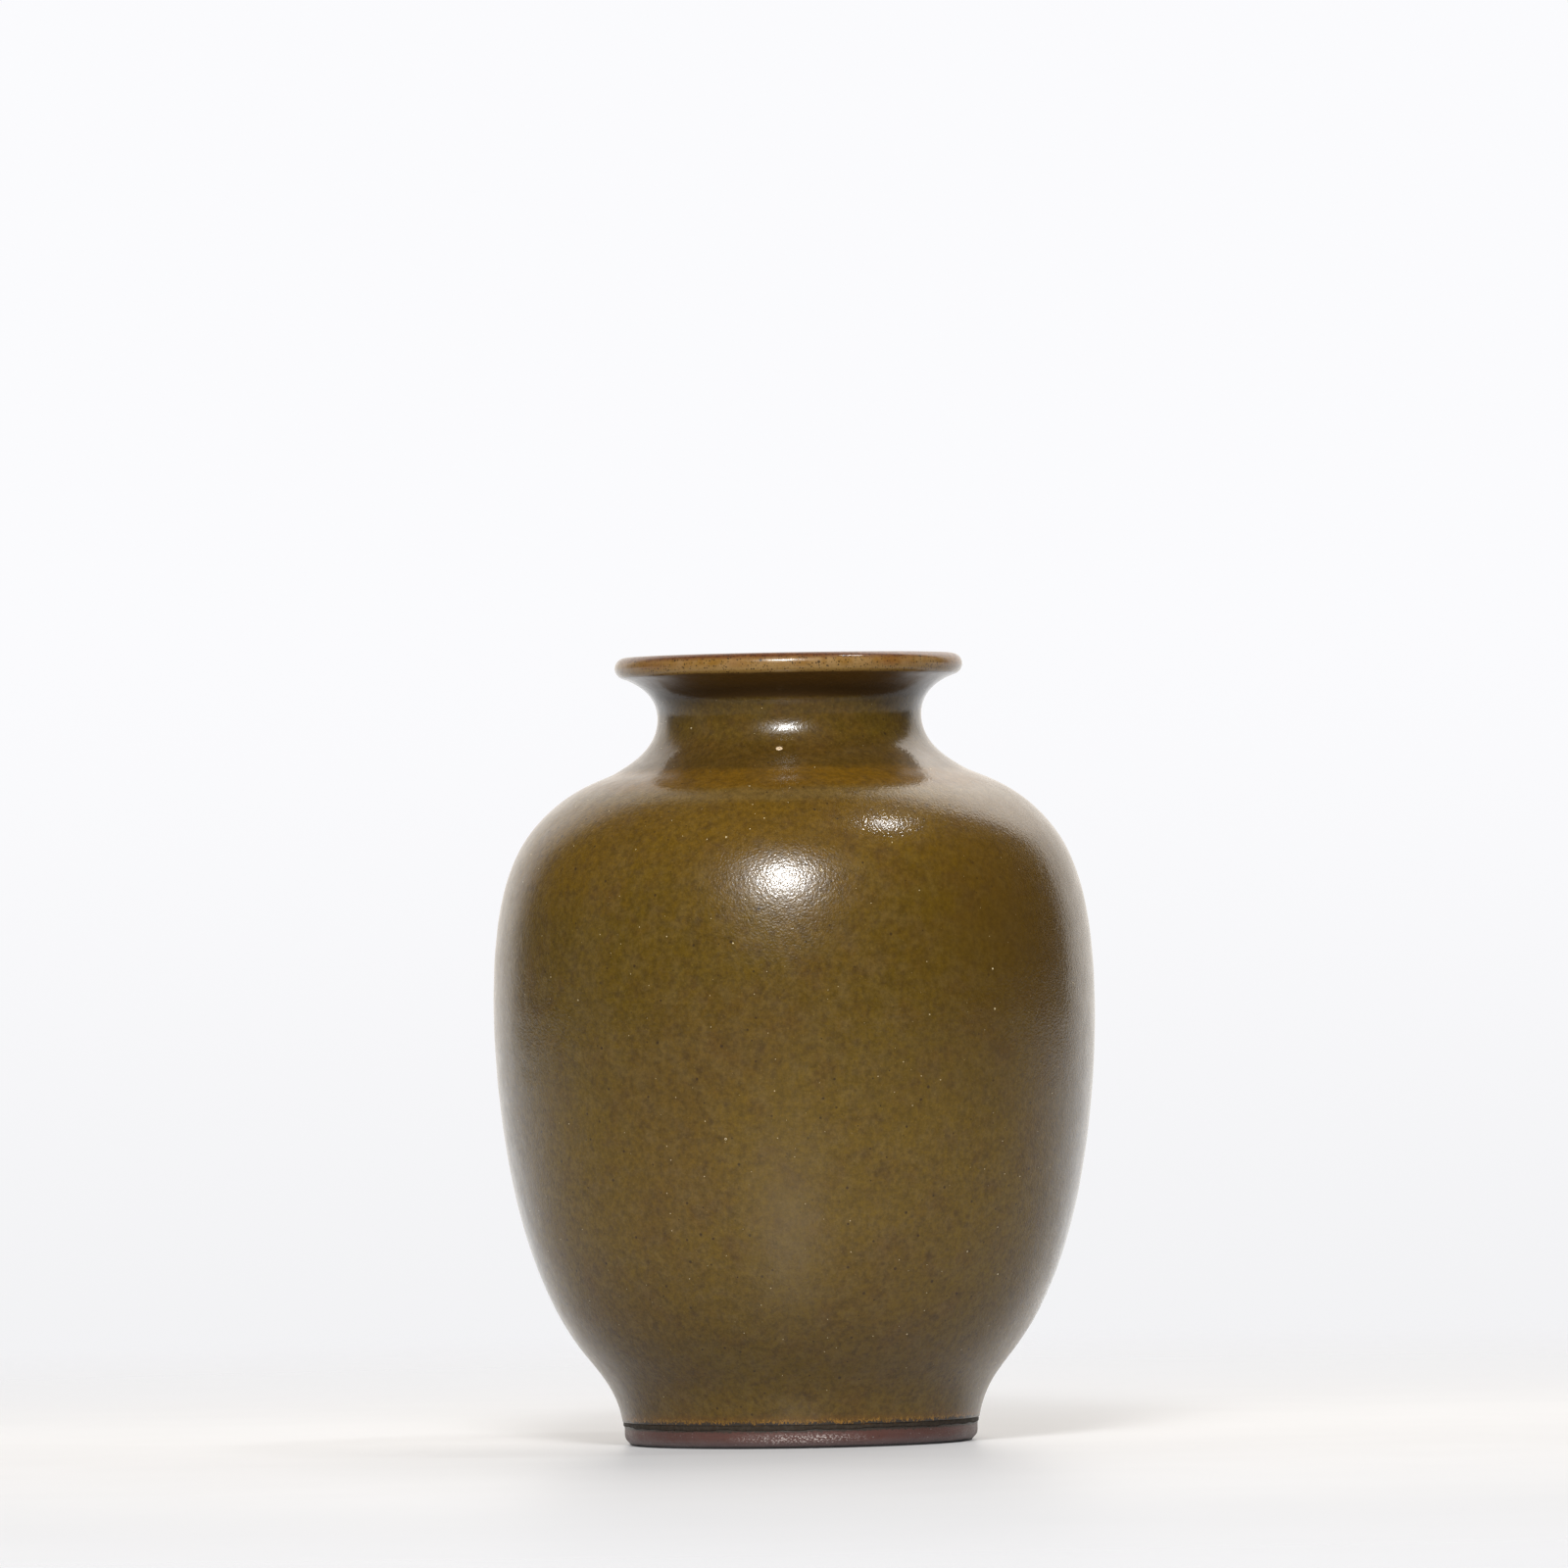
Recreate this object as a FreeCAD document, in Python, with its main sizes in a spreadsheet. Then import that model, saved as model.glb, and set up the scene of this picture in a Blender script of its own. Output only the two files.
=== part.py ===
import FreeCAD, Part
import os
import Sketcher

# A small ovoid stoneware vase with a waisted neck, a rolled everted lip and a low turned foot.
# Millimetres and degrees. The origin is on the resting plane, under the middle of the foot, with +Z up.
# Heights are stacked: the belly stands on the foot, the throat on the belly and the lip on the throat.

SIZES = {
    # outside of the glazed vase
    "foot_radius": 33.65,
    "foot_bevel": 1.6,
    "glaze_line_height": 3.4,
    "glaze_stand": 0.15,
    "belly_radius": 57.35,
    "belly_height": 83,
    "shoulder_rise": 55.3,
    "throat_radius": 25.2,
    "mouth_rise": 11.7,
    "lip_radius": 33.15,
    "lip_roll_radius": 2.05,
    "lip_turn_angle": 19,
    "lip_lead": 2.9,
    # walls, coats and the hollow inside
    "glaze_coat": 0.5,
    "body_wall": 4,
    "neck_wall": 4.6,
    "neck_land_drop": 5.8,
    "floor_thickness": 6,
    "floor_flat_radius": 16,
    # foot ring, its recess and the rolled lower edge of the glaze
    "foot_ring_width": 6.2,
    "foot_inner_bevel": 1,
    "foot_recess": 4.5,
    "glaze_edge_height": 1.1,
    "glaze_edge_bulge": 0.05,
    "glaze_edge_clearance": 0.02,
    # bevelled seams where the clay sections are luted together
    "belly_seam_drop": 4,
    "belly_seam_angle": 20,
    "neck_seam_drop": 10.1,
    "neck_seam_radius": 32,
    "neck_seam_angle": 45,
    "lip_ring_width": 4.65,
    "cut_overrun": 5,
}

# Control points of the outline's smooth stretches. A row holds a point's radius and its height, as shares of
# the way from the stretch's start to its end, and the tilt of the direction out through the wall there, as a
# share of a right angle: 0 points away from the axis, 1 points up and -1 points down.
FOOT_TO_BELLY_SHARES = [
    (0, 0, 0),
    (0.04, 0.07, -0.2),
    (0.20, 0.14, -0.5),
    (0.50, 0.24, -0.4),
    (0.88, 0.52, -0.1),
    (1, 0.85, 0),
    (1, 1, 0),
]
BELLY_TO_THROAT_SHARES = [
    (0, 0, 0),
    (0, 0.40, 0),
    (0.27, 0.70, 0.45),
    (0.73, 0.81, 0.75),
    (0.74, 0.81, 0.7),
    (1, 0.91, 0.15),
    (1, 1, 0),
]
THROAT_TO_ROLL_SHARES = [
    (0, 0, 0),
    (0, 0.49, -0.1),
]
BOWL_SHARES = [
    (0, 0, -1),
    (0.30, 0, -0.9),
    (0.58, 0.10, -0.6),
    (0.84, 0.38, -0.2),
    (1, 0.75, 0),
    (1, 1, 0),
]
HOLLOW_SHOULDER_SHARES = [
    (0, 0, 0),
    (0, 0.40, 0),
    (0.26, 0.72, 0.45),
    (0.70, 0.82, 0.75),
    (0.80, 0.82, 0.7),
    (1, 0.91, 0.15),
    (1, 1, 0),
]
# Height of the fullest point of the glaze's rolled edge, in that edge
EDGE_FULLEST_SHARE = 0.6

# Degrees in a square corner and in one full turn of the wheel
RIGHT_ANGLE = 90
FULL_TURN = 360
# The outline's curves are cubic, and all their control points pull alike
CURVE_DEGREE = 3
POLE_WEIGHT = 1.0

doc = FreeCAD.newDocument("OvoidVase")


def make_sheet():
    """Spreadsheet of the driving sizes, one alias a row."""
    cells = doc.addObject("Spreadsheet::Sheet", "Sizes")
    for row, (alias, number) in enumerate(SIZES.items(), start=1):
        cells.set(f"A{row}", alias)
        cells.set(f"B{row}", str(number))
        cells.setAlias(f"B{row}", alias)
    doc.recompute()
    return cells


sheet = make_sheet()


def size(name):
    """The expression that reads one driving size."""
    return f"Sizes.{name}"


def value(expression):
    """The number that an expression gives."""
    return float(sheet.evalExpression(expression))


def spot(point):
    """The place in a sketch that a pair of expressions, radius and height, gives."""
    return FreeCAD.Vector(value(point[0]), value(point[1]), 0)


# Radii and heights that follow from the driving sizes
COAT = size("glaze_coat")
NONE = "0"
THROAT_HEIGHT = f"({size('belly_height')} + {size('shoulder_rise')})"
TOP_HEIGHT = f"({THROAT_HEIGHT} + {size('mouth_rise')})"
ROLL_RADIUS = f"({size('lip_radius')} - {size('lip_roll_radius')})"
ROLL_HEIGHT = f"({TOP_HEIGHT} - {size('lip_roll_radius')})"
BORE_RADIUS = f"({size('throat_radius')} - {size('neck_wall')})"
LAND_HEIGHT = f"({THROAT_HEIGHT} - {size('neck_land_drop')})"
FLARE_HEIGHT = f"({TOP_HEIGHT} - ({ROLL_RADIUS} - {BORE_RADIUS}))"
COAT_FOOT_RADIUS = f"({size('foot_radius')} + {size('glaze_stand')})"
RECESS_RADIUS = f"({size('foot_radius')} - {size('foot_ring_width')})"
HOLLOW_RADIUS = f"({size('belly_radius')} - 2 * {COAT} - {size('body_wall')})"
FLOOR_HEIGHT = f"({size('foot_recess')} + {size('floor_thickness')} + {COAT})"
EDGE_HEIGHT = f"({size('glaze_line_height')} + {size('glaze_edge_height')})"
CUT_REACH = f"({size('belly_radius')} + {size('cut_overrun')})"
CUT_TOP = f"({TOP_HEIGHT} + {size('cut_overrun')})"


def stretch_poles(start, end, shares, outward):
    """Control points from start to end, moved outward through the wall along each one's tilt."""
    poles = []
    for radius_share, height_share, tilt_share in shares:
        tilt = RIGHT_ANGLE * tilt_share
        radius = f"{start[0]} + {radius_share} * ({end[0]} - {start[0]}) + {outward} * cos({tilt})"
        height = f"{start[1]} + {height_share} * ({end[1]} - {start[1]}) + {outward} * sin({tilt})"
        poles.append((radius, height))
    return poles


def outside_edges(inset):
    """Outside surface from the glaze line to the top of the rolled lip, inset by what lies over it."""
    outward = f"(-{inset})"
    start = (COAT_FOOT_RADIUS, size("glaze_line_height"))
    belly = (size("belly_radius"), size("belly_height"))
    throat = (size("throat_radius"), THROAT_HEIGHT)
    centre = (ROLL_RADIUS, ROLL_HEIGHT)
    turn = size("lip_turn_angle")
    roll = f"({size('lip_roll_radius')} - {inset})"
    roll_start = (f"({centre[0]} + {roll} * sin({turn}))", f"({centre[1]} - {roll} * cos({turn}))")
    lead = size("lip_lead")
    lead_in = (f"{roll_start[0]} - {lead} * cos({turn})", f"{roll_start[1]} - {lead} * sin({turn})")
    mouth = stretch_poles(throat, centre, THROAT_TO_ROLL_SHARES, outward)
    roll_top = (centre[0], f"{centre[1]} + {roll}")
    return [
        ("curve", stretch_poles(start, belly, FOOT_TO_BELLY_SHARES, outward)),
        ("curve", stretch_poles(belly, throat, BELLY_TO_THROAT_SHARES, outward)),
        ("curve", mouth + [lead_in, roll_start]),
        ("arc", [roll_start, roll_top], centre),
    ]


def hollow_edges(outward):
    """Inside surface from the flat of the floor to the top of the lip, moved outward by what covers it."""
    floor = (size("floor_flat_radius"), FLOOR_HEIGHT)
    belly = (HOLLOW_RADIUS, size("belly_height"))
    land = (BORE_RADIUS, LAND_HEIGHT)
    shoulder = stretch_poles(belly, land, HOLLOW_SHOULDER_SHARES, outward)
    centre = (ROLL_RADIUS, FLARE_HEIGHT)
    flare_start = (f"{BORE_RADIUS} + {outward}", FLARE_HEIGHT)
    flare_end = (ROLL_RADIUS, f"{TOP_HEIGHT} - {outward}")
    return [
        ("curve", stretch_poles(floor, belly, BOWL_SHARES, outward)),
        ("curve", shoulder),
        ("line", [shoulder[-1], flare_start]),
        ("arc", [flare_start, flare_end], centre),
    ]


def backwards(edges):
    """The same edges run the other way."""
    return [(edge[0], edge[1][::-1], *edge[2:]) for edge in reversed(edges)]


def closed_outline(*parts):
    """One list of edges from edges and single points, joined by straight lines and closed by one."""
    edges = []
    start = None
    here = None
    for part in parts:
        if isinstance(part, tuple):
            following = [("line", [here, part])] if here else []
            start = start or part
            here = part
        else:
            following = list(part)
            first_point = part[0][1][0]
            if here and spot(here) != spot(first_point):
                following.insert(0, ("line", [here, first_point]))
            start = start or first_point
            here = part[-1][1][-1]
        edges += following
    return edges + [("line", [here, start])]


def bind_distance(rules, kind, geometry, vertex, expression):
    """Bind one coordinate of a sketch point to an expression; a coordinate of 0 lies on the sketch's axis."""
    distance = value(expression)
    if distance == 0:
        axis = -2 if kind == "DistanceX" else -1
        rules.append((Sketcher.Constraint("PointOnObject", geometry, vertex, axis), None))
    else:
        rules.append((Sketcher.Constraint(kind, -1, 1, geometry, vertex, distance), expression))


def bind_point(rules, geometry, vertex, point):
    """Bind both coordinates of a sketch point."""
    bind_distance(rules, "DistanceX", geometry, vertex, point[0])
    bind_distance(rules, "DistanceY", geometry, vertex, point[1])


def add_line(sketch, rules, points):
    """A straight edge with its end bound; returns its number, start vertex and end vertex."""
    line = sketch.addGeometry(Part.LineSegment(spot(points[0]), spot(points[1])), False)
    bind_point(rules, line, 2, points[1])
    return line, 1, 2


def polar_angle(direction):
    """Angle of a direction in the sketch, from its horizontal axis."""
    angle = FreeCAD.Vector(1, 0, 0).getAngle(direction)
    return angle if direction.y >= 0 else -angle


def add_arc(sketch, rules, points, centre):
    """The shorter arc about a bound centre; its end is bound by the coordinate that changes fastest."""
    middle = spot(centre)
    first = spot(points[0]) - middle
    last = spot(points[1]) - middle
    leftward = first.cross(last).z > 0
    low, high = (first, last) if leftward else (last, first)
    circle = Part.Circle(middle, FreeCAD.Vector(0, 0, 1), first.Length)
    arc = sketch.addGeometry(Part.ArcOfCircle(circle, polar_angle(low), polar_angle(high)), False)
    start_vertex, end_vertex = (1, 2) if leftward else (2, 1)
    bind_point(rules, arc, 3, centre)
    if abs(last.y) > abs(last.x):
        bind_distance(rules, "DistanceX", arc, end_vertex, points[1][0])
    else:
        bind_distance(rules, "DistanceY", arc, end_vertex, points[1][1])
    return arc, start_vertex, end_vertex


def add_curve(sketch, rules, poles):
    """A cubic spline, clamped at its ends, whose control points after the first are bound."""
    places = [spot(pole) for pole in poles]
    spans = len(poles) - CURVE_DEGREE
    counts = [CURVE_DEGREE + 1] + [1] * (spans - 1) + [CURVE_DEGREE + 1]
    spline = Part.BSplineCurve()
    spline.buildFromPolesMultsKnots(places, counts, list(range(spans + 1)), False, CURVE_DEGREE)
    curve = sketch.addGeometry(spline, False)
    marks = []
    for index, place in enumerate(places):
        mark = sketch.addGeometry(Part.Circle(place, FreeCAD.Vector(0, 0, 1), POLE_WEIGHT), True)
        if marks:
            rules.append((Sketcher.Constraint("Equal", marks[0], mark), None))
            bind_point(rules, mark, 3, poles[index])
        else:
            rules.append((Sketcher.Constraint("Weight", mark, POLE_WEIGHT), None))
        role = "InternalAlignment:Sketcher::BSplineControlPoint"
        rules.append((Sketcher.Constraint(role, mark, 3, curve, index), None))
        marks.append(mark)
    return curve, 1, 2


def add_edge(sketch, rules, edge):
    """One edge of an outline, with the rules that bind it to the sheet."""
    if edge[0] == "line":
        return add_line(sketch, rules, edge[1])
    if edge[0] == "arc":
        return add_arc(sketch, rules, edge[1], edge[2])
    return add_curve(sketch, rules, edge[1])


def turned_body(name, outline):
    """Solid of revolution about Z from a closed outline, as it comes off the wheel."""
    body = doc.addObject("PartDesign::Body", name)
    sketch = body.newObject("Sketcher::SketchObject", name + "_outline")
    planes = [feature for feature in body.Origin.OriginFeatures if feature.Role == "XZ_Plane"]
    sketch.AttachmentSupport = [(planes[0], "")]
    sketch.MapMode = "FlatFace"
    rules = []
    placed = [add_edge(sketch, rules, edge) for edge in outline]
    for before, after in zip(placed, placed[1:] + placed[:1]):
        joint = Sketcher.Constraint("Coincident", before[0], before[2], after[0], after[1])
        rules.append((joint, None))
    numbers = sketch.addConstraint([rule for rule, expression in rules])
    for number, (rule, expression) in zip(numbers, rules):
        if expression:
            sketch.setExpression(f"Constraints[{number}]", expression)
    turning = body.newObject("PartDesign::Revolution", name + "_turning")
    turning.Profile = sketch
    turning.ReferenceAxis = (sketch, ["V_Axis"])
    turning.Angle = FULL_TURN
    body.Tip = turning
    return body


def cut(name, base, tool):
    """What is left of base outside tool."""
    result = doc.addObject("Part::Cut", name)
    result.Base = base
    result.Tool = tool
    return result


def common(name, first, second):
    """What first and second share."""
    result = doc.addObject("Part::Common", name)
    result.Base = first
    result.Tool = second
    return result


def disc(name, radius, low, thickness):
    """A flat round disc about Z."""
    result = doc.addObject("Part::Cylinder", name)
    result.setExpression("Radius", radius)
    result.setExpression("Height", thickness)
    result.setExpression("Placement.Base.z", low)
    return result


def make_wall():
    """All the clay in one turned wall: foot, body, neck and lip, without its coats."""
    foot = size("foot_radius")
    recess = size("foot_recess")
    return turned_body("clay_wall", closed_outline(
        (NONE, recess),
        (RECESS_RADIUS, recess),
        (RECESS_RADIUS, size("foot_inner_bevel")),
        (f"{RECESS_RADIUS} + {size('foot_inner_bevel')}", NONE),
        (f"{foot} - {size('foot_bevel')}", NONE),
        (foot, size("foot_bevel")),
        (foot, size("glaze_line_height")),
        outside_edges(COAT),
        backwards(hollow_edges(COAT)),
        (NONE, f"{FLOOR_HEIGHT} - {COAT}"),
    ))


def above_seam(name, radius, height, angle):
    """All that lies above a seam: a cone that passes through radius and height and falls inward."""
    fall = f"tan({angle})"
    return turned_body(name, closed_outline(
        (NONE, f"{height} - {radius} * {fall}"),
        (CUT_REACH, f"{height} + ({CUT_REACH} - {radius}) * {fall}"),
        (CUT_REACH, f"{CUT_TOP} + {CUT_REACH}"),
        (NONE, f"{CUT_TOP} + {CUT_REACH}"),
    ))


def make_clay_sections(wall):
    """The thrown and turned sections that the wall is luted from, face to face at their seams."""
    foot_zone = disc("foot_zone", CUT_REACH, NONE, size("foot_recess"))
    belly_seam_height = f"{size('belly_height')} - {size('belly_seam_drop')}"
    neck_seam_height = f"{THROAT_HEIGHT} - {size('neck_seam_drop')}"
    belly_radius = size("belly_radius")
    over_belly = above_seam("belly_seam", belly_radius, belly_seam_height, size("belly_seam_angle"))
    neck_radius = size("neck_seam_radius")
    over_neck = above_seam("neck_seam", neck_radius, neck_seam_height, size("neck_seam_angle"))
    lip_inner = f"{size('lip_radius')} - {size('lip_ring_width')}"
    lip_zone = turned_body("lip_seam", closed_outline(
        (lip_inner, THROAT_HEIGHT),
        (CUT_REACH, THROAT_HEIGHT),
        (CUT_REACH, CUT_TOP),
        (lip_inner, CUT_TOP),
    ))
    over_foot = cut("wall_over_foot", wall, foot_zone)
    shoulder_and_neck = common("wall_over_belly", over_foot, over_belly)
    neck_and_lip = common("wall_over_shoulder", shoulder_and_neck, over_neck)
    return [
        common("foot_ring", wall, foot_zone),
        cut("lower_body", over_foot, over_belly),
        cut("upper_body", shoulder_and_neck, over_neck),
        cut("neck", neck_and_lip, lip_zone),
        common("lip_ring", neck_and_lip, lip_zone),
    ]


def make_outer_coats():
    """The coats on the outside: the main glaze, the band over the rolled lip and the rolled lower edge."""
    foot = size("foot_radius")
    line = size("glaze_line_height")
    outside = turned_body("outside_coat", closed_outline(outside_edges(NONE), backwards(outside_edges(COAT))))
    inner = f"{size('lip_radius')} - {size('lip_ring_width')}"
    lip_zone = turned_body("lip_band", closed_outline(
        (ROLL_RADIUS, THROAT_HEIGHT),
        (CUT_REACH, THROAT_HEIGHT),
        (CUT_REACH, CUT_TOP),
        (inner, CUT_TOP),
        (inner, ROLL_HEIGHT),
        (ROLL_RADIUS, ROLL_HEIGHT),
    ))
    edge_zone = disc("edge_zone", CUT_REACH, NONE, EDGE_HEIGHT)
    body_coat = cut("body_coat", outside, lip_zone)
    edge_rim = f"({COAT_FOOT_RADIUS} + {size('glaze_edge_bulge')})"
    fullest = f"({edge_rim} + {size('glaze_edge_bulge')})"
    bed_surface = outside_edges(f"({COAT} - {size('glaze_edge_clearance')})")
    bed = turned_body("edge_bed", closed_outline((NONE, line), bed_surface, (NONE, TOP_HEIGHT)))
    bead = turned_body("edge_bead", closed_outline(
        (RECESS_RADIUS, line),
        (foot, line),
        [("curve", [
            (foot, line),
            (fullest, line),
            (fullest, f"{line} + {EDGE_FULLEST_SHARE} * {size('glaze_edge_height')}"),
            (edge_rim, EDGE_HEIGHT),
        ])],
        (RECESS_RADIUS, EDGE_HEIGHT),
    ))
    return [
        cut("outer_glaze", body_coat, edge_zone),
        common("lip_glaze", outside, lip_zone),
        cut("glaze_edge", bead, bed),
    ]


def make_inner_coats():
    """The coat over the whole inside, and the flat one in the recess of the foot."""
    floor = FLOOR_HEIGHT
    inside = turned_body("inner_glaze", closed_outline(
        (NONE, f"{floor} - {COAT}"),
        hollow_edges(COAT),
        backwards(hollow_edges(NONE)),
        (NONE, floor),
    ))
    base = disc("base_glaze", RECESS_RADIUS, f"{size('foot_recess')} - {COAT}", COAT)
    return [inside, base]


def check_and_write(nodes):
    """Refuse a failed object or shape, then write one STEP file for each node."""
    failed = [thing.Name for thing in doc.Objects if {"Invalid", "Error"} & set(thing.State)]
    if failed:
        raise RuntimeError("failed to build: " + ", ".join(failed))
    for node in nodes:
        if node.Shape.isNull() or not node.Shape.isValid():
            raise RuntimeError("bad shape: " + node.Label)
    os.makedirs("parts", exist_ok=True)
    for node in nodes:
        node.Shape.exportStep(f"parts/{node.Label}.step")
        box = node.Shape.BoundBox
        print(f"{node.Label:12} {len(node.Shape.Solids)} solid {node.Shape.Volume:10.1f} mm3", end=" ")
        print(f"radius {box.XMax:.2f} height {box.ZMin:.2f} to {box.ZMax:.2f}")


clay_wall = make_wall()
nodes = make_clay_sections(clay_wall) + make_outer_coats() + make_inner_coats()
doc.recompute()
check_and_write(nodes)
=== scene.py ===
import math
import bpy
import numpy as np
from mathutils import Matrix, Vector


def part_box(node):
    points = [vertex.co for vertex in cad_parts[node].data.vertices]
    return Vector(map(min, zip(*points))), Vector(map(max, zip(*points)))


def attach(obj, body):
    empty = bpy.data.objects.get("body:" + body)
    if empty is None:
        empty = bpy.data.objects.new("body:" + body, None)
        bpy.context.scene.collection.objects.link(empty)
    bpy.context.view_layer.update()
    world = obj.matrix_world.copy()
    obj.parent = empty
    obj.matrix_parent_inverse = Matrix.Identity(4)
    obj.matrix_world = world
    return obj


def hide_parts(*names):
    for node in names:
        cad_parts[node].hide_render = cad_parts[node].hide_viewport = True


# A small ovoid stoneware vase with an olive tea-dust glaze, on a pale studio floor.
# Everything is in metres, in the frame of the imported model: +Z up, the foot's middle at the origin.
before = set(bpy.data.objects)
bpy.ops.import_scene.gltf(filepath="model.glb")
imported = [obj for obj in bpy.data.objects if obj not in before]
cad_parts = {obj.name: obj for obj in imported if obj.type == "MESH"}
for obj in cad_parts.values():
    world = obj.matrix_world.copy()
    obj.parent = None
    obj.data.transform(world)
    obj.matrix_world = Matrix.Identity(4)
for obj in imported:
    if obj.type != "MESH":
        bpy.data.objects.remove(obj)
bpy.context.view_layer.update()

MM = 0.001
DEGREE = math.pi / 180
FULL_TURN = 2 * math.pi


def reach(node):
    """Outer radius of a round node."""
    low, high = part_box(node)
    return (high.x - low.x) / 2


# Sizes that the frame gives
BELLY_RADIUS = reach("outer_glaze")
LIP_RADIUS = reach("lip_glaze")
RECESS_RADIUS = reach("base_glaze")
MOUTH_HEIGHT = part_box("lip_glaze")[1].z
EDGE_LOW, EDGE_TOP = (corner.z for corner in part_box("glaze_edge"))
RECESS_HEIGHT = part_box("base_glaze")[1].z
FLOOR_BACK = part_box("inner_glaze")[0].z

# Sizes of the vase's outline, as on the wheel
COAT = 0.5 * MM
HOLLOW_RADIUS = reach("inner_glaze") - COAT
FOOT_RADIUS = 33.65 * MM
GLAZE_STAND = 0.15 * MM
FOOT_BEVEL = 1.6 * MM
FOOT_INNER_BEVEL = 1 * MM
BELLY_HEIGHT = 83 * MM
THROAT_RADIUS = 25.2 * MM
THROAT_HEIGHT = MOUTH_HEIGHT - 11.7 * MM
ROLL = 2.05 * MM
ROLL_TURN = 19 * DEGREE
ROLL_LEAD = 2.9 * MM
ROLL_CENTRE = (LIP_RADIUS - ROLL, MOUTH_HEIGHT - ROLL)
NECK_WALL = 4.6 * MM
LAND_RADIUS = THROAT_RADIUS - NECK_WALL
LAND_DROP = 5.8 * MM
FLOOR_FLAT_RADIUS = 16 * MM
EDGE_BULGE = 0.05 * MM
EDGE_CLEARANCE = 0.02 * MM

# Control points as shares of the way from a stretch's start to its end, and the tilt of the wall's outward
# direction there, as a share of a right angle
FOOT_TO_BELLY_SHARES = [
    (0, 0, 0), (0.04, 0.07, -0.2), (0.20, 0.14, -0.5), (0.50, 0.24, -0.4),
    (0.88, 0.52, -0.1), (1, 0.85, 0), (1, 1, 0),
]
BELLY_TO_THROAT_SHARES = [
    (0, 0, 0), (0, 0.40, 0), (0.27, 0.70, 0.45), (0.73, 0.81, 0.75),
    (0.74, 0.81, 0.7), (1, 0.91, 0.15), (1, 1, 0),
]
THROAT_TO_ROLL_SHARES = [(0, 0, 0), (0, 0.49, -0.1)]
BOWL_SHARES = [
    (0, 0, -1), (0.30, 0, -0.9), (0.58, 0.10, -0.6), (0.84, 0.38, -0.2), (1, 0.75, 0), (1, 1, 0),
]
HOLLOW_SHOULDER_SHARES = [
    (0, 0, 0), (0, 0.40, 0), (0.26, 0.72, 0.45), (0.70, 0.82, 0.75),
    (0.80, 0.82, 0.7), (1, 0.91, 0.15), (1, 1, 0),
]

# How finely the surfaces are divided
SEGMENTS = 384
BODY_STEP = 0.7 * MM
LIP_STEP = 0.16 * MM
FOOT_STEP = 0.12 * MM
FINE_STEPS = 1200
SHARP_ANGLE = 50 * DEGREE


def stretch_poles(start, end, shares, outward):
    """Control points from start to end, moved outward through the wall along each one's tilt."""
    poles = []
    for radius_share, height_share, tilt_share in shares:
        tilt = tilt_share * math.pi / 2
        radius = start[0] + radius_share * (end[0] - start[0]) + outward * math.cos(tilt)
        height = start[1] + height_share * (end[1] - start[1]) + outward * math.sin(tilt)
        poles.append((radius, height))
    return poles


def spline(poles):
    """Many points along a uniform cubic B-spline that is clamped at its ends."""
    poles = np.array(poles)
    spans = len(poles) - 3
    knots = np.clip(np.arange(-3, spans + 4), 0, spans).astype(float)
    t = np.linspace(0, spans * (1 - 1e-9), FINE_STEPS)
    pull = [((t >= low) & (t < high)).astype(float) for low, high in zip(knots, knots[1:])]
    for degree in (1, 2, 3):
        rise = [(t - knots[i]) / max(knots[i + degree] - knots[i], 1e-12) for i in range(len(pull) - 1)]
        fall = [
            (knots[i + degree + 1] - t) / max(knots[i + degree + 1] - knots[i + 1], 1e-12)
            for i in range(len(pull) - 1)
        ]
        pull = [rise[i] * pull[i] + fall[i] * pull[i + 1] for i in range(len(pull) - 1)]
    return np.array(pull).T @ poles


def arc(centre, radius, start, end):
    """Points on an arc; angles in radians, from the outward horizontal."""
    t = np.linspace(start, end, FINE_STEPS)
    return np.stack([centre[0] + radius * np.cos(t), centre[1] + radius * np.sin(t)], axis=1)


def evenly(points, step):
    """The same line with points about one step apart, its ends kept."""
    points = np.array(points)
    runs = np.concatenate([[0], np.cumsum(np.hypot(*np.diff(points, axis=0).T))])
    at = np.linspace(0, runs[-1], max(2, int(round(runs[-1] / step)) + 1))
    return np.stack([np.interp(at, runs, points[:, 0]), np.interp(at, runs, points[:, 1])], axis=1)


def trimmed(points, column, low=None, high=None):
    """The part of a line whose radius (column 0) or height (column 1) lies between two values."""
    values = points[:, column]
    kept = np.ones(len(points), bool)
    ends = []
    for limit, above in ((low, True), (high, False)):
        if limit is not None:
            kept &= values > limit if above else values < limit
            other = np.interp(limit, values, points[:, 1 - column])
            ends.append((above, (limit, other) if column == 0 else (other, limit)))
    line = points[kept]
    for above, end in ends:
        line = np.vstack([[end], line]) if above else np.vstack([line, [end]])
    return line


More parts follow.
